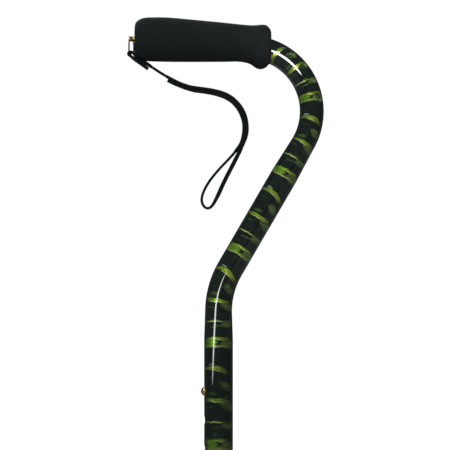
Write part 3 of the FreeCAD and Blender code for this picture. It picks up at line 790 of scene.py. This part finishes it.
def add_math(tree, operation, *values, clamp=False):
    node = tree.nodes.new("ShaderNodeMath")
    node.operation = operation
    node.use_clamp = clamp
    for socket, value in zip(node.inputs, values):
        fill_socket(tree, socket, value)
    return node.outputs[0]


class Paint:
    """A node material with one Principled shader, and short ways to add nodes to it."""

    def __init__(self, name):
        self.material = bpy.data.materials.new(name)
        self.material.use_nodes = True
        self.tree = self.material.node_tree
        self.nodes = self.tree.nodes
        self.shader = self.nodes["Principled BSDF"]

    def put(self, socket, value):
        fill_socket(self.tree, socket, value)

    def look(self, **values):
        for key, value in values.items():
            self.put(self.shader.inputs[key.replace("_", " ")], value)

    def math(self, operation, *values):
        return add_math(self.tree, operation, *values)

    def times(self, product, *others):
        for other in others:
            product = self.math("MULTIPLY", product, other)
        return product

    def scaled(self, vector, scale):
        node = self.nodes.new("ShaderNodeVectorMath")
        node.operation = "MULTIPLY"
        self.put(node.inputs[0], vector)
        self.put(node.inputs[1], scale)
        return node.outputs[0]

    def place(self):
        """Position on the piece, in metres."""
        return self.nodes.new("ShaderNodeTexCoord").outputs["Object"]

    def attribute(self, name):
        node = self.nodes.new("ShaderNodeAttribute")
        node.attribute_name = name
        return node.outputs["Vector"]

    def split(self, vector):
        node = self.nodes.new("ShaderNodeSeparateXYZ")
        self.put(node.inputs[0], vector)
        return node.outputs[:3]

    def join(self, x, y, z):
        node = self.nodes.new("ShaderNodeCombineXYZ")
        for socket, value in zip(node.inputs, (x, y, z)):
            self.put(socket, value)
        return node.outputs[0]

    def noise(self, vector, scale, detail, rough):
        node = self.nodes.new("ShaderNodeTexNoise")
        self.put(node.inputs["Vector"], vector)
        node.inputs["Scale"].default_value = scale
        node.inputs["Detail"].default_value = detail
        node.inputs["Roughness"].default_value = rough
        return node.outputs[0]

    def brushed(self, wrap, round_scale, along_scale, detail, rough, scale=2.0):
        """Noise in the tube's own coordinates; a small round scale draws it out round the tube."""
        cos_theta, sin_theta, phase = wrap
        round_x = self.times(cos_theta, round_scale)
        round_y = self.times(sin_theta, round_scale)
        return self.noise(self.join(round_x, round_y, self.times(phase, along_scale)), scale, detail, rough)

    def cells(self, vector, scale):
        node = self.nodes.new("ShaderNodeTexVoronoi")
        self.put(node.inputs["Vector"], vector)
        node.inputs["Scale"].default_value = scale
        return node.outputs["Distance"]

    def mix(self, share, first, second):
        node = self.nodes.new("ShaderNodeMix")
        node.data_type = "RGBA"
        self.put(node.inputs[0], share)
        self.put(node.inputs[6], first)
        self.put(node.inputs[7], second)
        return node.outputs[2]

    def spread(self, value, low, high, new_low=0.0, new_high=1.0):
        """Maps low to high onto new_low to new_high, and stays inside them."""
        node = self.nodes.new("ShaderNodeMapRange")
        for socket, number in zip(node.inputs, (value, low, high, new_low, new_high)):
            self.put(socket, number)
        return node.outputs[0]

    def bump(self, height, depth, strength, normal=None):
        node = self.nodes.new("ShaderNodeBump")
        node.inputs["Strength"].default_value = strength
        node.inputs["Distance"].default_value = depth
        self.put(node.inputs["Height"], height)
        if normal is not None:
            self.put(node.inputs["Normal"], normal)
        return node.outputs[0]


FOAM_DARK = (0.0070, 0.0105, 0.0103)
FOAM_LIGHT = (0.0102, 0.0150, 0.0148)
FOAM_WORN = (0.0124, 0.0178, 0.0174)
WEBBING_DARK = (0.0014, 0.0024, 0.0024)
WEBBING_LIGHT = (0.0064, 0.0095, 0.0090)
WEBBING_FUZZ = (0.012, 0.016, 0.015)
WARP_WIDTH = 0.62
CHEVRON_WIDTH = 1.9
THREAD_DARK = (0.012, 0.013, 0.013)
THREAD_LIGHT = (0.035, 0.037, 0.036)
THREAD_TWIST = 0.3 * MM
PLASTIC_BLACK = (0.013, 0.014, 0.015)
PLASTIC_SCUFF = (0.04, 0.04, 0.04)
ANODISED_DARK = (0.018, 0.019, 0.021)
ANODISED_LIGHT = (0.032, 0.034, 0.037)
ANODISED_RUB = (0.16, 0.165, 0.17)
POWDER_DARK = (0.012, 0.013, 0.014)
POWDER_LIGHT = (0.024, 0.025, 0.027)
POWDER_CHIP = (0.13, 0.125, 0.12)
RUBBER_DARK = (0.011, 0.011, 0.012)
RUBBER_LIGHT = (0.022, 0.022, 0.023)
RUBBER_DUST = (0.085, 0.08, 0.072)
DUST_TOP = 14.0 * MM


def foam_paint():
    p = Paint("foam_black")
    where = p.place()
    pores = p.cells(where, 2600)
    grain = p.noise(where, 900, 4, 0.6)
    blotch = p.noise(where, 28, 3, 0.5)
    shade = p.mix(p.spread(grain, 0.3, 0.7), FOAM_DARK, FOAM_LIGHT)
    shade = p.mix(p.spread(blotch, 0.35, 0.7, 0, 0.35), shade, FOAM_WORN)
    normal = p.bump(grain, 0.12 * MM, 0.7)
    normal = p.bump(pores, 0.10 * MM, 0.6, normal)
    p.look(Base_Color=shade, Roughness=0.93, Specular_IOR_Level=0.08, Normal=normal)
    p.look(Sheen_Weight=0.015, Sheen_Roughness=0.6)
    return p.material


def webbing_paint():
    """Woven black webbing: chevrons of weft over fine warp, with a little fuzz."""
    p = Paint("webbing_black")
    across, along, _ = p.split(p.attribute("weave"))
    lean = p.times(p.math("ABSOLUTE", across), FULL_TURN / CHEVRON_WIDTH)
    step = p.times(along, FULL_TURN / (BAND_WEFT_PITCH / MM))
    chevron = p.math("SINE", p.math("ADD", lean, step))
    warp = p.math("SINE", p.times(across, FULL_TURN / WARP_WIDTH))
    thread_height = p.math("MULTIPLY_ADD", warp, 0.35, chevron)
    fuzz = p.noise(p.place(), 5200, 3, 0.6)
    height = p.math("MULTIPLY_ADD", fuzz, 0.8, thread_height)
    shade = p.mix(p.spread(thread_height, -1.2, 1.2), WEBBING_DARK, WEBBING_LIGHT)
    shade = p.mix(p.spread(fuzz, 0.5, 0.9, 0, 0.35), shade, WEBBING_FUZZ)
    normal = p.bump(height, 0.07 * MM, 0.8)
    p.look(Base_Color=shade, Roughness=0.85, Specular_IOR_Level=0.12, Normal=normal)
    p.look(Sheen_Weight=0.03, Sheen_Roughness=0.5)
    return p.material


def thread_paint():
    p = Paint("thread_black")
    x, _, _ = p.split(p.place())
    twist = p.math("SINE", p.times(x, FULL_TURN / THREAD_TWIST))
    shade = p.mix(p.spread(twist, -1, 1), THREAD_DARK, THREAD_LIGHT)
    p.look(Base_Color=shade, Roughness=0.6, Normal=p.bump(twist, 0.03 * MM, 0.6))
    return p.material


def metal_paint(name, bright, dull, rough, brushed=0.0, band=None):
    """Bare or plated metal: slight clouding, fine scratches and softer worn patches.

    A band is (height, half height, other colour): inside it the metal keeps its colours as a painted
    highlight, and outside it has the other, darker colour as painted shade.
    """
    p = Paint(name)
    where = p.place()
    cloud = p.noise(where, 160, 4, 0.6)
    fine = p.noise(p.scaled(where, (1, 1, 0.06)), 6000, 2, 0.5)
    shade = p.mix(p.spread(cloud, 0.45, 0.75, 0, 0.3), bright, dull)
    # The band paints light: a painted highlight at one height and painted shade above and below it.
    if band:
        level, half, other = band
        away = p.math("ABSOLUTE", p.math("SUBTRACT", p.split(where)[2], level))
        shade = p.mix(p.spread(away, half * 0.75, half * 1.25), shade, other)
    roughness = p.math("MULTIPLY_ADD", p.spread(cloud, 0.3, 0.75), 0.16, rough)
    p.look(Base_Color=shade, Metallic=1.0, Roughness=roughness)
    p.look(Normal=p.bump(fine, 0.004 * MM + brushed * 0.01 * MM, 0.5))
    return p.material


def plastic_paint():
    p = Paint("plastic_black")
    where = p.place()
    grain = p.noise(where, 2400, 3, 0.5)
    scuff = p.noise(p.scaled(where, (1, 1, 3)), 190, 5, 0.65)
    shade = p.mix(p.spread(scuff, 0.55, 0.8, 0, 0.6), PLASTIC_BLACK, PLASTIC_SCUFF)
    p.look(Base_Color=shade, Roughness=p.spread(scuff, 0.3, 0.75, 0.38, 0.56))
    p.look(Normal=p.bump(grain, 0.03 * MM, 0.5))
    return p.material


def anodised_paint():
    """Black anodised drawn tube: lengthwise draw lines and a few bright rub marks."""
    p = Paint("stem_anodised")
    where = p.place()
    drawn = p.noise(p.scaled(where, (1, 1, 0.02)), 3800, 3, 0.6)
    rub = p.noise(p.scaled(where, (1, 1, 0.12)), 420, 5, 0.7)
    shade = p.mix(p.spread(drawn, 0.3, 0.7), ANODISED_DARK, ANODISED_LIGHT)
    shade = p.mix(p.spread(rub, 0.66, 0.72, 0, 0.7), shade, ANODISED_RUB)
    p.look(Base_Color=shade, Metallic=0.75, Roughness=p.spread(drawn, 0.3, 0.7, 0.3, 0.42))
    p.look(Normal=p.bump(drawn, 0.008 * MM, 0.5))
    return p.material


def powder_paint():
    """Satin black powder coat with a fine orange peel and small chips."""
    p = Paint("base_steel_black")
    where = p.place()
    peel = p.noise(where, 520, 2, 0.5)
    speck = p.noise(where, 2600, 3, 0.6)
    chip = p.noise(where, 95, 6, 0.75)
    shade = p.mix(p.spread(speck, 0.35, 0.7), POWDER_DARK, POWDER_LIGHT)
    shade = p.mix(p.spread(chip, 0.74, 0.76, 0, 0.8), shade, POWDER_CHIP)
    p.look(Base_Color=shade, Roughness=p.spread(speck, 0.3, 0.7, 0.3, 0.42))
    p.look(Normal=p.bump(peel, 0.06 * MM, 0.5), Coat_Weight=0.25, Coat_Roughness=0.2)
    return p.material


def rubber_paint():
    """Black rubber, dusty towards the floor."""
    p = Paint("tip_rubber")
    where = p.place()
    height = p.split(where)[2]
    grain = p.noise(where, 1500, 4, 0.6)
    dust = p.noise(where, 70, 5, 0.65)
    low = p.spread(height, 0.0, DUST_TOP, 0.75, 0.1)
    grime = p.times(p.spread(dust, 0.42, 0.7), low)
    shade = p.mix(p.spread(grain, 0.3, 0.7), RUBBER_DARK, RUBBER_LIGHT)
    shade = p.mix(grime, shade, RUBBER_DUST)
    p.look(Base_Color=shade, Roughness=p.spread(dust, 0.3, 0.7, 0.62, 0.85), Specular_IOR_Level=0.3)
    p.look(Normal=p.bump(grain, 0.05 * MM, 0.6))
    return p.material


# ---- The printed pattern on the handle tube ----
# Strokes are written as: place round the tube in radians from its near side, + towards the
# outside of the bend (middle, half width), place along it in millimetres (three numbers of a
# parabola), half thickness, edge softness, strength and colour.
INK = (0.0064, 0.0108, 0.0092)
INK_LIGHT = (0.0105, 0.0170, 0.0135)
LIME = (0.21, 0.32, 0.028)
LEAF = (0.12, 0.26, 0.022)
OLIVE = (0.130, 0.195, 0.058)
# Olive as it shows on the better lit bend: painted light.
OLIVE_PAINTED_LIT = (0.27, 0.41, 0.10)
DULL = (0.058, 0.115, 0.036)
PALE = (0.50, 0.55, 0.22)
RUST = (0.035, 0.018, 0.010)
GREY = (0.44, 0.46, 0.34)
MOTIF_SPAN = 76.0
BACK_SHIFT = 0.37
# Each motif: its place in the repeat, and its strokes.
MOTIFS = [
    (0.035, [
        (0.75, 0.75, (-0.5, 1.5, 1.0), 4.6, 2.5, 0.75, OLIVE),
        (-0.48, 0.45, (-7.9, 0.6, 2.0), 1.9, 1.4, 0.85, DULL),
        (-0.70, 0.42, (2.3, 0.4, 0.8), 1.1, 1.0, 0.7, DULL),
        (-0.15, 1.15, (-3.2, 0.5, 0.6), 1.75, 0.9, 1.0, LIME),
        (-0.55, 0.75, (-2.9, 0.2, 0.9), 1.2, 0.9, 0.8, LEAF),
        (0.0, 0.55, (-0.2, 0.8, 0.5), 0.7, 0.7, 0.8, RUST),
        (-0.18, 0.72, (-1.9, 0.6, 0.9), 0.5, 0.45, 1.0, PALE),
    ]),
    (0.245, [
        (0.72, 0.62, (-0.4, 0.5, -0.5), 3.4, 2.2, 0.8, OLIVE),
        (0.0, 0.80, (0.9, -1.6, 0.0), 1.0, 0.9, 0.85, DULL),
        (-0.40, 1.05, (-3.1, 0.4, 1.1), 0.95, 0.7, 0.9, LIME),
        (-0.38, 0.85, (-2.8, 0.4, 1.1), 0.5, 0.45, 1.0, PALE),
    ]),
    (0.50, [
        (0.75, 0.65, (-5.0, 0.5, 0.8), 4.4, 2.0, 0.8, OLIVE),
        (-0.95, 0.80, (-5.6, 0.0, 0.5), 3.9, 1.2, 1.0, LEAF),
        (-0.45, 0.45, (-5.9, 1.5, 0.0), 3.2, 1.2, 0.9, LEAF),
        (0.0, 1.15, (-9.0, 0.3, 0.7), 1.5, 0.9, 1.0, LIME),
        (-0.1, 1.25, (-3.4, 0.4, 0.8), 1.1, 0.8, 0.9, LIME),
        (0.05, 0.42, (-8.2, 2.0, 0.0), 0.42, 0.4, 1.0, PALE),
        (-0.2, 1.15, (-2.6, 0.4, 0.9), 0.45, 0.45, 1.0, PALE),
    ]),
    (0.695, [
        (0.55, 0.50, (9.5, 5.0, 0.0), 4.2, 2.4, 0.7, OLIVE),
        (-0.58, 0.46, (5.5, 0.2, 0.4), 0.6, 0.6, 0.55, DULL),
        (0.25, 0.50, (2.6, 3.0, 3.0), 0.9, 0.8, 0.9, RUST),
        (-0.12, 1.12, (-1.1, 2.6, 3.4), 2.1, 0.8, 1.0, LIME),
        (-0.75, 0.50, (-1.2, 2.6, 3.4), 1.2, 0.9, 0.9, LEAF),
        (0.12, 0.78, (0.8, 2.8, 3.6), 0.5, 0.45, 1.0, PALE),
        (-0.52, 0.30, (-4.7, -1.0, 0.0), 0.5, 0.4, 1.0, GREY),
    ]),
]


def stroke_group():
    """One brush stroke: 1 inside a bowed lens, falling to 0 at its edges."""
    tree = bpy.data.node_groups.new("stroke", "ShaderNodeTree")
    for name in ("Round", "Along", "Middle", "Half", "C0", "C1", "C2", "Thick", "Soft"):
        tree.interface.new_socket(name=name, in_out="INPUT", socket_type="NodeSocketFloat")
    tree.interface.new_socket(name="Mask", in_out="OUTPUT", socket_type="NodeSocketFloat")
    given = tree.nodes.new("NodeGroupInput").outputs

    def node(operation, *values, clamp=False):
        return add_math(tree, operation, *values, clamp=clamp)

    share = node("DIVIDE", node("SUBTRACT", given["Round"], given["Middle"]), given["Half"])
    width = node("SUBTRACT", 1.0, node("MULTIPLY", share, share))
    blunt = node("POWER", node("MAXIMUM", width, 0.0), 0.7)
    bow = node("MULTIPLY_ADD", given["Round"], given["C2"], given["C1"])
    bow = node("MULTIPLY_ADD", bow, given["Round"], given["C0"])
    away = node("ABSOLUTE", node("SUBTRACT", given["Along"], bow))
    depth = node("SUBTRACT", node("MULTIPLY", blunt, given["Thick"]), away)
    mask = node("DIVIDE", depth, given["Soft"], clamp=True)
    tree.links.new(mask, tree.nodes.new("NodeGroupOutput").inputs["Mask"])
    return tree


def tube_paint():
    """Black ink with lime brush marks under a hard clear coat."""
    p = Paint("tube_finish")
    where = p.place()
    cos_theta, sin_theta, phase = p.split(p.attribute("wrap"))
    theta = p.math("ARCTAN2", sin_theta, cos_theta)
    # The far side carries the same motifs, moved along the tube.
    cell = p.math("WRAP", theta, math.pi / 2, -math.pi / 2)
    back = p.math("GREATER_THAN", p.math("ABSOLUTE", theta), math.pi / 2)
    phase = p.math("MULTIPLY_ADD", back, BACK_SHIFT, phase)
    wrap = (cos_theta, sin_theta, phase)
    bristle = p.brushed(wrap, 0.7, 34.0, 5, 0.65)
    streak = p.brushed(wrap, 0.9, 55.0, 3, 0.5)
    brush = p.brushed(wrap, 0.8, 15.0, 2, 0.5)
    wobble = p.brushed(wrap, 1.6, 5.0, 3, 0.6, scale=1.5)
    # From 1 on the upper bend to 0 below it, and from 0 above the straight part to 1 low on it.
    bend = p.spread(phase, 0.45, 0.95, 1.0, 0.0)
    low = p.spread(phase, 2.7, 3.7)
    # The strokes waver along the tube, and are more ragged towards its top.
    sway = p.math("MULTIPLY_ADD", wobble, 2.4, -1.2)
    ragged = p.times(p.math("SUBTRACT", bristle, 0.5), p.spread(phase, 0.7, 1.3, 4.0, 1.0))
    sway = p.math("ADD", sway, ragged)
    shade = p.mix(p.spread(bristle, 0.35, 0.7), INK, INK_LIGHT)
    wisps = p.times(p.spread(bristle, 0.55, 0.70, 0, 0.4), p.spread(wobble, 0.5, 0.7))
    shade = p.mix(wisps, shade, OLIVE)
    # Painted light: the bright colour is a painted highlight on the near side and dies away towards the
    # sides as painted shade, except on the bend, where it stays bright as painted light; below, it narrows
    # to a painted lit band along the gleam left of the near side, and all of it is dimmer there as painted
    # shade.
    fade = p.times(p.spread(cell, 0.45, 1.2, 1.0, 0.6), p.spread(cell, -1.3, -0.95, 0.25, 1.0))
    aside = p.math("ABSOLUTE", p.math("ADD", cell, 0.25))
    painted_lit_band_low = p.mix(low, (1.0, 1.0, 1.0), p.join(*[p.spread(aside, 0.4, 0.9, 1.0, 0.16)] * 3))
    fade = p.times(fade, painted_lit_band_low, p.spread(low, 0, 1, 1.0, 0.5))
    fade = p.math("MAXIMUM", fade, p.times(bend, 0.95))
    # Painted shade: the other stroke colours are dimmer low on the straight part.
    painted_shade_low = p.spread(low, 0, 1, 1.0, 0.4)
    # Olive strokes break up into streaks, and into coarse brush marks on the bend.
    streaks = p.spread(streak, 0.38, 0.56, 0.35, 1.0)
    solid = p.math("SUBTRACT", 1.0, p.times(bend, 0.85))
    marks = p.math("MAXIMUM", solid, p.spread(brush, 0.44, 0.54))
    bristles = p.spread(bristle, 0.3, 0.52, 0.25, 1.0)
    # On the bend the olive strokes are brighter: painted light where the bend catches more light.
    olive = p.mix(bend, OLIVE, OLIVE_PAINTED_LIT)
    group = stroke_group()
    cover = None
    for start, strokes in MOTIFS:
        local = p.times(p.math("WRAP", p.math("SUBTRACT", phase, start), 0.5, -0.5), MOTIF_SPAN)
        local = p.math("ADD", local, sway)
        for middle, half, (c0, c1, c2), thick, soft, strength, colour in strokes:
            node = p.nodes.new("ShaderNodeGroup")
            node.node_tree = group
            inputs = {"Round": cell, "Along": local, "Middle": middle, "Half": half, "C0": c0,
                      "C1": c1, "C2": c2, "Thick": thick, "Soft": soft}
            for name, value in inputs.items():
                p.put(node.inputs[name], value)
            mask = p.times(node.outputs[0], strength)
            if colour is OLIVE:
                mask = p.times(mask, streaks, marks)
            elif colour not in (PALE, GREY):
                mask = p.times(mask, bristles)
            mask = p.times(mask, fade if colour in (LIME, LEAF, PALE) else painted_shade_low)
            shade = p.mix(mask, shade, olive if colour is OLIVE else colour)
            if colour in (LIME, LEAF, PALE, DULL):
                cover = mask if cover is None else p.math("MAXIMUM", cover, mask)
    flake = p.noise(where, 7000, 2, 0.5)
    ripple = p.noise(where, 85, 2, 0.4)
    p.look(Base_Color=shade, Metallic=p.times(cover, p.spread(low, 0, 1, 0.4, 0.9)))
    p.look(Roughness=p.spread(flake, 0.3, 0.7, 0.36, 0.5), Specular_IOR_Level=0.0)
    p.look(Coat_Weight=1.0, Coat_Roughness=0.07, Coat_IOR=1.52)
    p.look(Coat_Normal=p.bump(ripple, 0.01 * MM, 0.3), Normal=p.bump(flake, 0.01 * MM, 0.4))
    return p.material


def assign(piece, material):
    piece.data.materials.clear()
    piece.data.materials.append(material)


# The post: a painted highlight band across its middle, with painted shade above and below it.
POST_PAINTED_HIGHLIGHT = (718.3 * MM, 1.15 * MM, (0.045, 0.042, 0.008))
# The ring: a painted glint of bright metal at its top, and its lower legs painted dark as shade.
RING_PAINTED_GLINT = (720.0 * MM, 2.8 * MM, (0.075, 0.078, 0.066))


def paint_all():
    powder = powder_paint()
    rubber = rubber_paint()
    assign(strap, webbing_paint())
    assign(stitches, thread_paint())
    assign(grip, foam_paint())
    assign(tube, tube_paint())
    for tip in tips:
        assign(tip, rubber)
    for weld in welds:
        assign(weld, powder)
    # CAD nodes that are shown as they are.
    kept = [
        (plastic_paint(), ("handle_end_plug", "collet_sleeve", "lock_collar", "stem_top_guide",
                           "stem_end_plug")),
        (powder, ("base_socket", "hub_plate_upper", "hub_plate_lower", "leg_tube_front", "leg_tube_rear")),
        (anodised_paint(), ("stem_tube",)),
        (metal_paint("zinc_steel", (0.55, 0.56, 0.58), (0.33, 0.33, 0.34), 0.3),
         ("socket_bolt", "socket_nut", "socket_washers", "tip_washers")),
        (metal_paint("brass", (0.60, 0.46, 0.14), (0.30, 0.21, 0.06), 0.2), ("snap_button",)),
        (metal_paint("brass_post", (0.74, 0.66, 0.22), (0.5, 0.42, 0.13), 0.34, band=POST_PAINTED_HIGHLIGHT),
         ("strap_post",)),
        (metal_paint("ring_nickel", (0.70, 0.62, 0.22), (0.4, 0.34, 0.12), 0.34, band=RING_PAINTED_GLINT),
         ("strap_ring",)),
        (metal_paint("spring_steel", (0.34, 0.35, 0.38), (0.16, 0.17, 0.2), 0.28, brushed=1.0),
         ("snap_spring",)),
    ]
    for material, names in kept:
        for name in names:
            assign(nodes[name], material)


paint_all()


# ---- Floor, lights and surroundings ----
FLOOR_HALF = 12.0
FLOOR_DROP = 0.2 * MM
FLOOR_DARK = (0.34, 0.34, 0.34)
FLOOR_LIGHT = (0.37, 0.37, 0.37)
FLOOR_GLOW = (0.74, 1.1)
FLOOR_GLOW_REACH = (0.8, 3.2)
SHAFT_MIDDLE = (0, SHAFT_Y, 0.6)


def add_floor():
    half = FLOOR_HALF
    mesh = bpy.data.meshes.new("floor")
    corners = [(-half, -half, 0), (half, -half, 0), (half, half, 0), (-half, half, 0)]
    mesh.from_pydata(corners, [], [(0, 1, 2, 3)])
    floor = add_object("floor", mesh)
    floor.location.z = -FLOOR_DROP
    p = Paint("floor")
    cloud = p.noise(p.place(), 3, 3, 0.5)
    p.look(Base_Color=p.mix(cloud, FLOOR_DARK, FLOOR_LIGHT), Roughness=0.8)
    # The floor is a paler white to look at than the light it throws back on the object.
    seen = p.nodes.new("ShaderNodeLightPath").outputs["Is Camera Ray"]
    x, y, _ = p.split(p.place())
    away = p.math("SQRT", p.math("ADD", p.times(x, x), p.times(y, y)))
    glow = p.times(seen, p.spread(away, *FLOOR_GLOW_REACH, *FLOOR_GLOW))
    p.look(Emission_Color=(1.0, 1.0, 1.0), Emission_Strength=glow)
    assign(floor, p.material)


def add_panel(name, place, target, size, glow, oval=False, roll=0.0, spread=math.pi):
    """A soft box of the given size, as bright all over as glow."""
    data = bpy.data.lights.new(name, "AREA")
    data.shape = "ELLIPSE" if oval else "RECTANGLE"
    data.size, data.size_y = size
    data.spread = spread
    fill = math.pi / 4 if oval else 1.0
    data.energy = glow * math.pi * fill * size[0] * size[1]
    light = add_object(name, data)
    light.location = place
    aim = (Vector(target) - Vector(place)).to_track_quat("-Z", "Y")
    light.rotation_euler = (aim @ Quaternion((0, 0, 1), roll)).to_euler()
    light.visible_camera = False
    return light


def around(degrees, distance, height):
    """A place beside the shaft; 0 degrees is its near side and + is towards +X."""
    turn = math.radians(degrees)
    return (distance * math.sin(turn), SHAFT_Y - distance * math.cos(turn), height)


def add_lights():
    # Two small oval lights close to the tube's bends make their short gleams, and no diffuse light.
    strip = add_panel("strip", (-0.058, -0.116, 0.466), (-0.02, SHAFT_Y, 0.466), (0.020, 0.140), 6.2,
                      oval=True, roll=math.radians(-34), spread=math.radians(110))
    gleam = add_panel("gleam", (0.0594, -0.080, 0.7036), (0.0584, SHAFT_Y, 0.7005), (0.025, 0.042), 30,
                      oval=True, roll=math.radians(52))
    strip.visible_diffuse = False
    gleam.visible_diffuse = False
    # A broad fill evens out the foam and shows in no reflection.
    front = add_panel("front_fill", (0.30, -2.1, 0.35), SHAFT_MIDDLE, (1.4, 1.2), 3.2)
    front.visible_glossy = False
    for name, place, size, glow in (
        ("fill_box", (-0.66, -1.6, 2.05), (1.0, 1.0), 8.5),
        ("back_box", (-0.60, 1.55, 2.05), (0.9, 0.9), 8.0),
        ("top_box", (-0.35, -0.1, 2.7), (1.2, 1.2), 2.0),
        ("rim_left", around(-121, 1.6, 0.6), (0.7, 1.6), 0.06),
        ("rim_right", around(121, 1.6, 0.6), (0.7, 1.6), 0.06),
    ):
        add_panel(name, place, SHAFT_MIDDLE, size, glow)


WORLD_TINT = (0.90, 1.0, 0.97)
WORLD_DIM = (-0.3, 0.7, 0.13, 0.04)


def add_world():
    """White to look at; for light and reflections dim, and dimmer behind the object."""
    world = bpy.data.worlds.new("studio")
    bpy.context.scene.world = world
    world.use_nodes = True
    tree = world.node_tree
    tree.nodes.clear()
    kinds = ("OutputWorld", "MixShader", "Background", "Background", "LightPath", "TexCoord",
             "SeparateXYZ", "MapRange")
    out, choose, dim, white, ray, direction, parts, level = [tree.nodes.new("ShaderNode" + k) for k in kinds]
    for socket, value in (
        (parts.inputs[0], direction.outputs["Generated"]),
        *zip(level.inputs, (parts.outputs[1], *WORLD_DIM)),
        (dim.inputs["Color"], WORLD_TINT),
        (dim.inputs["Strength"], level.outputs[0]),
        (white.inputs["Color"], (1, 1, 1)),
        (white.inputs["Strength"], 1.0),
        (choose.inputs[0], ray.outputs["Is Camera Ray"]),
        (choose.inputs[1], dim.outputs[0]),
        (choose.inputs[2], white.outputs[0]),
        (out.inputs[0], choose.outputs[0]),
    ):
        fill_socket(tree, socket, value)
    bpy.context.scene.view_settings.view_transform = "Standard"


add_floor()
add_lights()
add_world()
